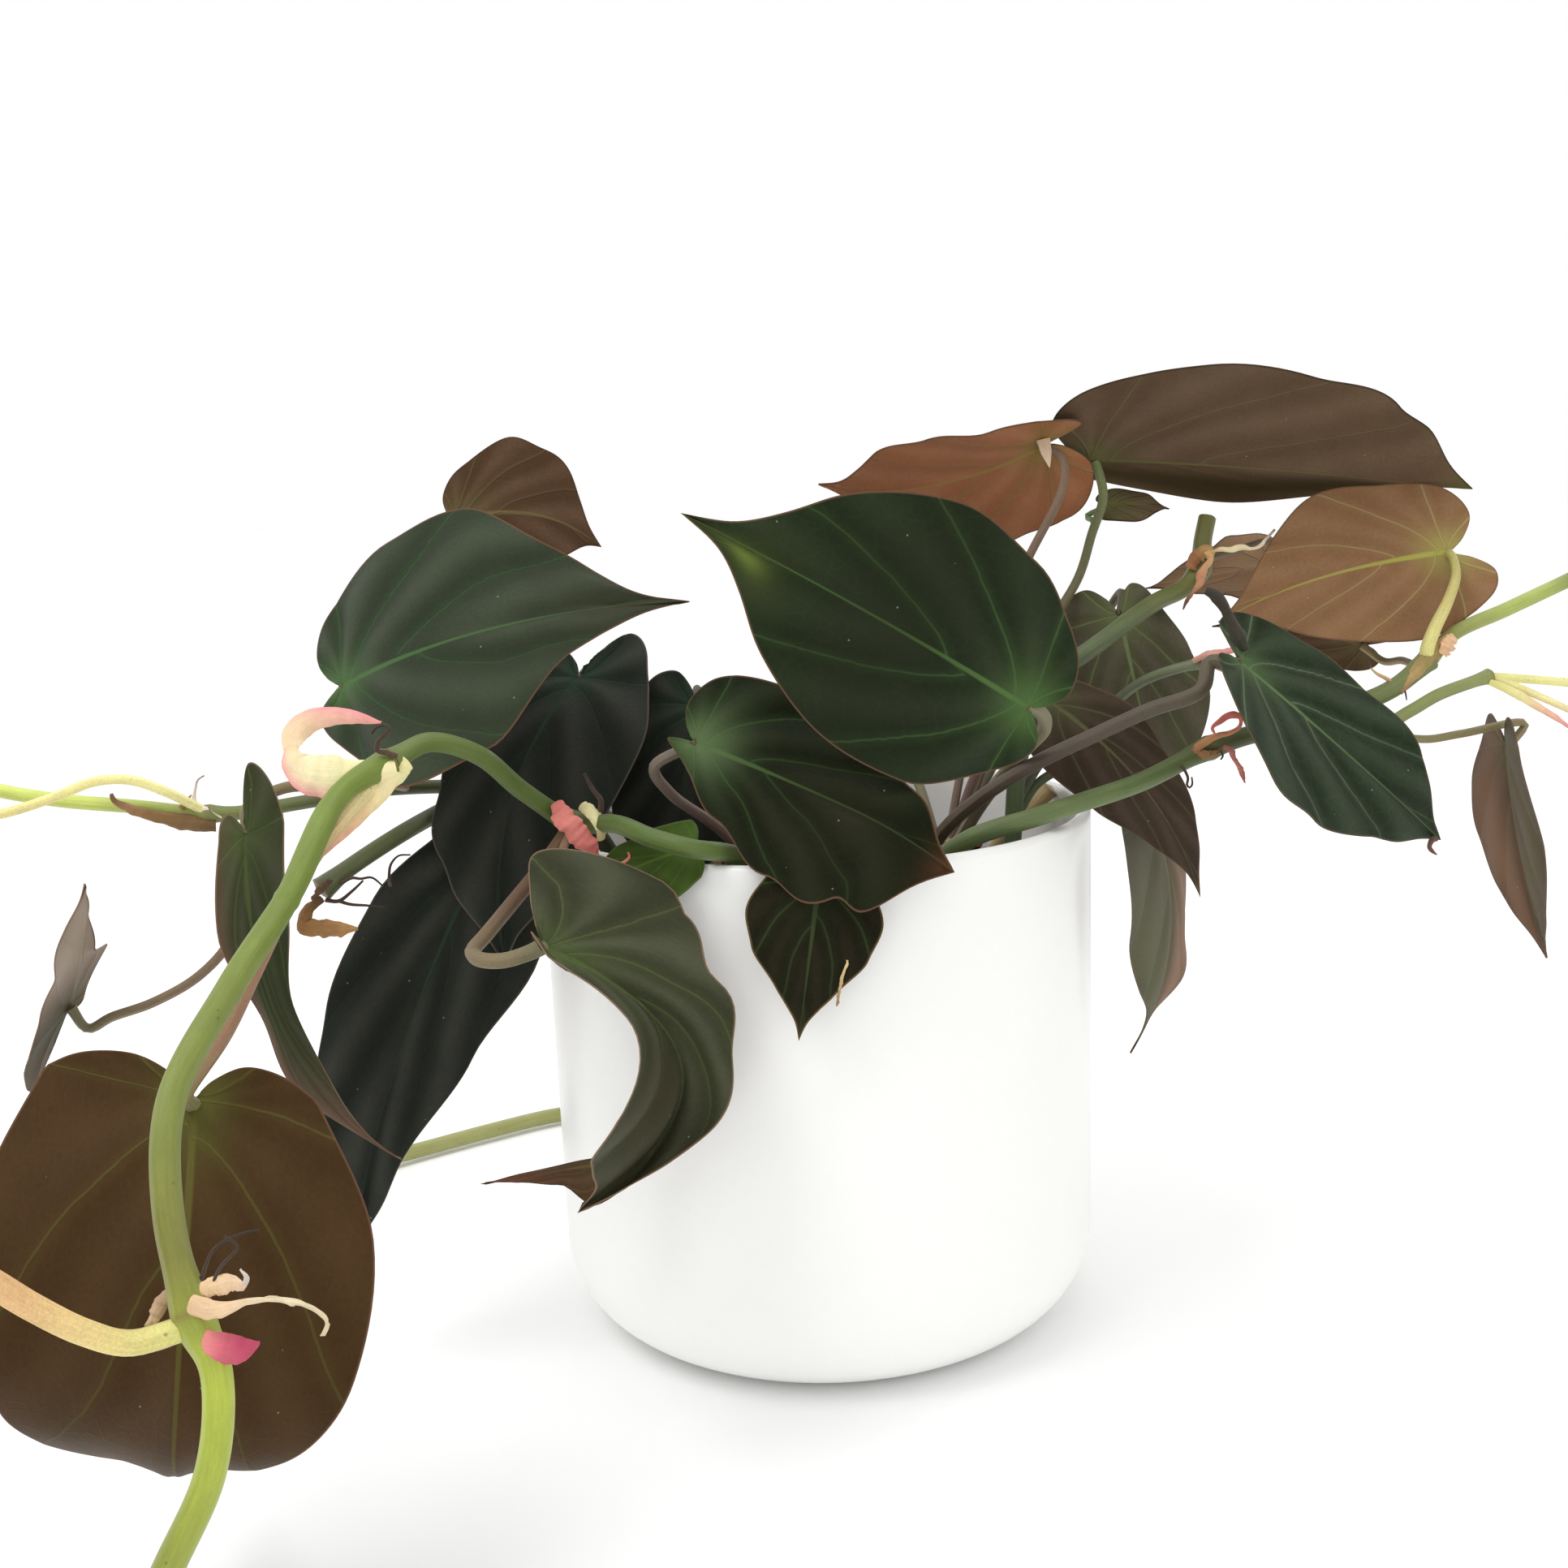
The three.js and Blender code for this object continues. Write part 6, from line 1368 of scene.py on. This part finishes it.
def closeTurned(heap, rings, low, high, inward=False):
    # Rings of points round an axis, closed by fans to a middle point at each end
    rows, sides = rings.shape[:2]
    quads, uv = gridQuads(rows, sides, wrap=True)
    if inward:
        quads, uv = quads[:, ::-1], uv[:, ::-1]
    fans = endFans(rows, sides, inward)
    poles = np.array([[0, 0, low], [0, 0, high]], float)
    heap.add(np.concatenate([rings.reshape(-1, 3), poles]), quads, fans, uv / [sides, rows],
             np.zeros((len(fans), 3, 2)))


def makePot():
    # Turned profile from the foot out, up the wall, over the rounded rim and back down to the inner floor
    side, rim, floor = pot["radius"] - pot["taper"], pot["height"] - pot["rim"], pot["floor"]
    foot, inner = side - pot["corner"], pot["corner"] - pot["wall"]
    profile = np.concatenate([
        [[radius, 0] for radius in [*pot["flatRings"], foot - 2]],
        arc(foot, pot["corner"], pot["corner"], -88, 0, 26),
        wall([side, pot["corner"]], [pot["radius"], rim], 22),
        arc(pot["radius"] - pot["rim"], rim, pot["rim"], 0, 180, 15),
        wall([pot["radius"] - pot["wall"], rim], [foot + inner, pot["corner"]], 18),
        arc(foot, pot["corner"], inner, 0, -88, 14),
        [[radius, floor] for radius in pot["flatRings"][::-1]],
    ])
    heap = Heap()
    closeTurned(heap, spinProfile(profile, pot["sides"]), 0, floor)
    heap.make("glazed_pot", ["pot"], [potSkin], 50)


def lumps(x, y, rate, seed):
    # Sum of slanted sine waves at rising rates, a plain stand-in for grains
    random = np.random.default_rng(seed)
    total = np.zeros_like(x)
    for octave in range(5):
        for _ in range(3):
            heading, shift = random.uniform(0, 2 * np.pi, 2)
            pitch = rate * 1.9**octave
            total += np.sin((x * np.cos(heading) + y * np.sin(heading)) * pitch + shift) / 1.5**octave
    return total / 3


def mixHeight(x, y):
    # Top of the mix: two slow waves across each other and a quicker slanted one
    wave = np.sin(x / 9 + 1.3) * np.cos(y / 11) + 0.5 * np.sin((x + y) / 5)
    return mix["top"] + mix["lump"] * wave


def makeMixTop():
    # Disc of rings with a lumpy, grained top and a skirt down the wall, closed below
    share = np.linspace(0.012, 1, mix["rings"])[:, None]
    turn = (np.arange(mix["sides"]) * 2 * np.pi / mix["sides"])[None, :]
    x, y = mix["radius"] * share * np.cos(turn), mix["radius"] * share * np.sin(turn)
    top = mixHeight(x, y) + mix["grain"] * lumps(x, y, 0.5, mix["seed"]) * ease(1.0, 0.97, share)
    skirt = np.array([(1.0, 80.0), (0.99, 40.0), (0.9, 12.0), (0.7, mix["bottom"]), (0.02, mix["bottom"])])
    low = spinProfile(skirt * [mix["radius"], 1], mix["sides"])
    heap = Heap()
    rings = np.concatenate([np.stack([x, y, top], -1), low])
    closeTurned(heap, rings, float(mixHeight(0.0, 0.0)), mix["bottom"], inward=True)
    heap.make("mix_top", ["soil"], [mixSkin], 60)


def chipBlock():
    # Corners and edge middles of a cube, its four side walls as eight quads, and its two ends as triangles
    square = np.array([[-1, -1], [1, -1], [1, 1], [-1, 1], [0, -1], [1, 0], [0, 1], [-1, 0]], float)
    ends = [np.column_stack([square, np.full(8, height)]) for height in (-1, 1)]
    cube = np.concatenate([ends[0][:4], ends[1][:4], ends[0][4:], ends[1][4:]])
    corner = np.arange(4)
    after = (corner + 1) % 4
    before = [corner, corner + 8, corner + 12, corner + 4]
    beyond = [corner + 8, after, after + 4, corner + 12]
    walls = np.stack([np.stack(before, 1), np.stack(beyond, 1)], 1).reshape(-1, 4)
    upper = np.stack([corner + 12, after + 4, after + 12], 1)
    lower = np.stack([corner + 8, after + 8, after], 1)
    caps = np.concatenate([upper, [[12, 13, 14], [12, 14, 15]], lower, [[8, 10, 9], [8, 11, 10]]])
    return cube, walls, caps


def makeChips():
    # Bark chips and husk: small cut blocks, bent along one side, strewn over the mix and sunk into it
    random = np.random.default_rng(chips["seed"])
    cube, walls, caps = chipBlock()
    heap = Heap()
    for _ in range(chips["count"]):
        heading, reach = random.uniform(0, 2 * np.pi), chips["spread"] * math.sqrt(random.uniform(0.02, 1))
        size = random.uniform(chips["small"], chips["large"])
        spin, tilt, lean = random.uniform(0, 6.28), random.normal(0, 0.35), random.normal(0, 0.3)
        turn = Matrix.Rotation(spin, 3, "Z") @ Matrix.Rotation(tilt, 3, "X") @ Matrix.Rotation(lean, 3, "Y")
        shape = cube * (1 + random.uniform(-chips["jag"], chips["jag"], cube.shape))
        shape[:, 2] += chips["bend"] * np.sin(shape[:, 0] * 2)
        x, y = reach * math.cos(heading), reach * math.sin(heading)
        centre = [x, y, float(mixHeight(x, y)) + size[2] * 0.5 + 0.5]
        points = (shape * size) @ np.array(turn).T + centre
        heap.add(points, walls, caps, points[walls][..., :2] / 10, points[caps][..., :2] / 10)
    heap.make("bark_chips", [], [barkSkin], 30)


makePot()
makeMixTop()
makeChips()
print("pot ready")


# Looks of the leaves; a patch lies at a share along the midrib and across the half, with a reach each way, and
# is the leaf's own colour unless it is marked as painted shade or painted light
def tintOrPaintedLight(along, column, reach, colour, strength):
    return {"along": along, "column": column, "reach": reach, "colour": colour, "strength": strength}


lookDefaults = {"upper": "deepVelvet", "under": "brownUnder", "slot": "leaf", "pleat": 1, "tintsAndPaintedLight": ()}
leafLooks = {
    "leaf_centre": {"tintsAndPaintedLight": [tintOrPaintedLight(0.86, -0.3, (0.12, 0.7), (78, 84, 44), 0.5),
        tintOrPaintedLight(0.82, -0.42, (0.05, 0.25), (110, 128, 58), 0.6), tintOrPaintedLight(0.45, 0, (0.22, 1.4), (38, 40, 28), 0.5),
        tintOrPaintedLight(0.02, 0.1, (0.1, 0.5), (80, 104, 60), 0.3)], "pleat": 2.4},
    "leaf_upper_left": {"upper": "blueVelvet", "tintsAndPaintedLight": [tintOrPaintedLight(0.9, 0.1, (0.22, 0.9), (64, 60, 44), 0.6),
        tintOrPaintedLight(0.35, 0.6, (0.25, 0.4), (60, 68, 52), 0.4)], "pleat": 3.4},
    "leaf_back_left": {"slot": "leaf_back"},
    "leaf_hang_left": {"upper": "darkVelvetWithPaintedShade", "pleat": 3.4},
    "leaf_dark_inner": {"upper": "darkVelvetWithPaintedShade", "pleat": 2},
    "leaf_over_rim": {"upper": "rimVelvet", "pleat": 3.4, "tintsAndPaintedLight": [tintOrPaintedLight(0.02, 0.1, (0.14, 0.6),
        (96, 118, 80), 0.5), tintOrPaintedLight(1.0, 0, (0.08, 1.2), (98, 66, 48), 0.75), tintOrPaintedLight(0.6, 0.2, (0.3, 0.8),
        (42, 40, 28), 0.5)]},
    "leaf_bent_front": {"upper": "oliveVelvet", "pleat": 3, "tintsAndPaintedLight": [tintOrPaintedLight(0.9, 0, (0.25, 1.4),
        (56, 50, 36), 0.6), tintOrPaintedLight(0.5, 0.5, (0.2, 0.5), (62, 52, 36), 0.5)]},
    "leaf_pleated": {"upper": "darkVelvetWithPaintedShade", "pleat": 6},
    "leaf_front_low": {"under": "russetUnder", "slot": "leaf_back", "pleat": 2},
    "leaf_folded_left": {"upper": "oliveVelvet", "tintsAndPaintedLight": [tintOrPaintedLight(0.3, -0.3, (0.7, 0.8), (44, 50, 30),
        0.55), tintOrPaintedLight(0.6, 0.95, (0.6, 0.3), (102, 74, 60), 0.85), tintOrPaintedLight(0.9, 0, (0.22, 1.4), (104, 76, 62),
        0.85)]},
    "leaf_far_left": {"upper": "oliveVelvet", "tintsAndPaintedLight": [tintOrPaintedLight(0.62, 0, (0.55, 2), (178, 162, 144), 0.85),
        tintOrPaintedLight(0, 0.5, (0.25, 1), (52, 56, 40), 0.7)]},
    "leaf_below_rim": {"upper": "duskVelvet", "tintsAndPaintedLight": [tintOrPaintedLight(1.0, 0, (0.12, 1.2), (74, 66, 44), 0.6)]},
    # painted shade: the dark brown patch along one half of the blade stands for that half lying in shadow; the
    # patch at the tip is the leaf's own green
    "leaf_top_right": {"upper": "greyUnder", "under": "greyUnder", "slot": "leaf_back",
        "tintsAndPaintedLight": [tintOrPaintedLight(0.4, -0.62, (0.9, 0.4), (64, 54, 36), 1), tintOrPaintedLight(1.0, 0, (0.06, 1.4), (84, 92, 42),
        0.7)]},
    "leaf_top_middle": {"under": "roseWithPaintedBacklightUnder", "slot": "leaf_back"},
    "leaf_right_under": {"under": "amberUnder", "slot": "leaf_back"},
    "leaf_right_green": {"upper": "mossVelvet", "pleat": 2.8},
    "leaf_far_right": {"upper": "smokeVelvet", "tintsAndPaintedLight": [tintOrPaintedLight(0.5, -0.6, (0.8, 0.5), (84, 74, 44), 0.9),
        tintOrPaintedLight(0.5, 0.6, (0.8, 0.5), (122, 90, 66), 0.9)]},
    # painted light: the pale patch over the whole blade stands for light shining through the leaf from behind
    "leaf_back_right": {"upper": "mauveWithPaintedBacklightUnder", "tintsAndPaintedLight": [tintOrPaintedLight(0.5, 0, (0.9, 2), (182, 146, 112), 0.9)]},
    "leaf_behind_right": {"upper": "mauveWithPaintedBacklightUnder"},
    "leaf_grey_heart": {"upper": "ashVelvetWithPaintedLight"},
    "leaf_purple": {"upper": "smokeVelvet", "tintsAndPaintedLight": [tintOrPaintedLight(1.0, 0, (0.05, 1.2), (120, 120, 60), 0.7)]},
    "leaf_hang_right": {"upper": "stoneVelvet", "tintsAndPaintedLight": [tintOrPaintedLight(0.5, 0.6, (0.8, 0.6), (96, 96, 72), 0.8),
        tintOrPaintedLight(0.5, -0.7, (0.8, 0.5), (134, 100, 76), 0.9)]},
    "leaf_bright": {"upper": "freshGreen", "under": "freshGreen", "slot": "fresh_leaf"},
    "leaf_red_tip": {"upper": "brownUnder", "tintsAndPaintedLight": [tintOrPaintedLight(0.9, 0, (0.3, 1.2), (116, 74, 60), 0.8)]},
    "leaf_small_top": {"upper": "greyUnder"},
}
for node, leaf in leaves.items():
    makeLeaf(node, leaf, {**lookDefaults, **leafLooks.get(node, {})})
print("leaves ready")


# Stage: floor, lights and camera
studio = {
    "white": (1, 1, 1, 1), "floorSize": 9, "floorHeight": -0.0002, "floorRough": 0.85,
    "lights": {
        "key_light": {"place": [-420, -330, 900], "target": [0, 0, 110], "size": 0.45, "power": 2.6},
        "top_light": {"place": [160, 260, 900], "target": [0, 0, 120], "size": 0.7, "power": 1.4},
    },
}
shot = {"place": [-7, -412, 199], "down": 10.1, "roll": -2.15, "focal": 2200 / 1932 * 36}

scene = bpy.context.scene
scene.view_settings.view_transform = "Standard"
world = bpy.data.worlds.new("studio")
world.use_nodes = True
world.node_tree.nodes["Background"].inputs["Color"].default_value = studio["white"]
world.node_tree.nodes["Background"].inputs["Strength"].default_value = 1.0
scene.world = world

floorMaterial, _, floorShader = startMaterial("paleFloor")
setValues(floorShader, Base_Color=studio["white"], Roughness=studio["floorRough"])
floorMesh = bpy.data.meshes.new("studio_floor")
corners = [(x * studio["floorSize"], y * studio["floorSize"], studio["floorHeight"])
           for x, y in ((-1, -1), (1, -1), (1, 1), (-1, 1))]
floorMesh.from_pydata(corners, [], [(0, 1, 2, 3)])
floorMesh.materials.append(floorMaterial)
floorPlane = bpy.data.objects.new("studio_floor", floorMesh)
scene.collection.objects.link(floorPlane)


def standAt(place, right, up, back):
    # Placing matrix from a place in metres and three directions
    return Matrix([[right[axis], up[axis], back[axis], place[axis]] for axis in range(3)] + [[0, 0, 0, 1]])


def addLight(name, place, target, size, power):
    # Round area light that looks at its target
    light = bpy.data.lights.new(name, "AREA")
    light.shape, light.size, light.energy = "DISK", size, power
    lamp = bpy.data.objects.new(name, light)
    place = np.array(place, float) * metre
    towards = unit(np.array(target, float) * metre - place)
    right = unit(np.cross(towards, [0, 0, 1]))
    lamp.matrix_world = standAt(place, right, np.cross(right, towards), -towards)
    scene.collection.objects.link(lamp)
    return lamp


lights = [addLight(name, **light) for name, light in studio["lights"].items()]

down, roll = math.radians(shot["down"]), math.radians(shot["roll"])
forward = np.array([0, math.cos(down), -math.sin(down)])
level = np.array([1.0, 0, 0])
upright = np.cross(level, forward)
right = level * math.cos(roll) + upright * math.sin(roll)
above = -level * math.sin(roll) + upright * math.cos(roll)
camera = bpy.data.objects.new("shot_camera", bpy.data.cameras.new("shot_camera"))
camera.data.lens, camera.data.sensor_width = shot["focal"], 36
camera.data.clip_start, camera.data.clip_end = 0.01, 50
camera.matrix_world = standAt(np.array(shot["place"]) * metre, right, above, -forward)
scene.collection.objects.link(camera)
scene.camera = camera
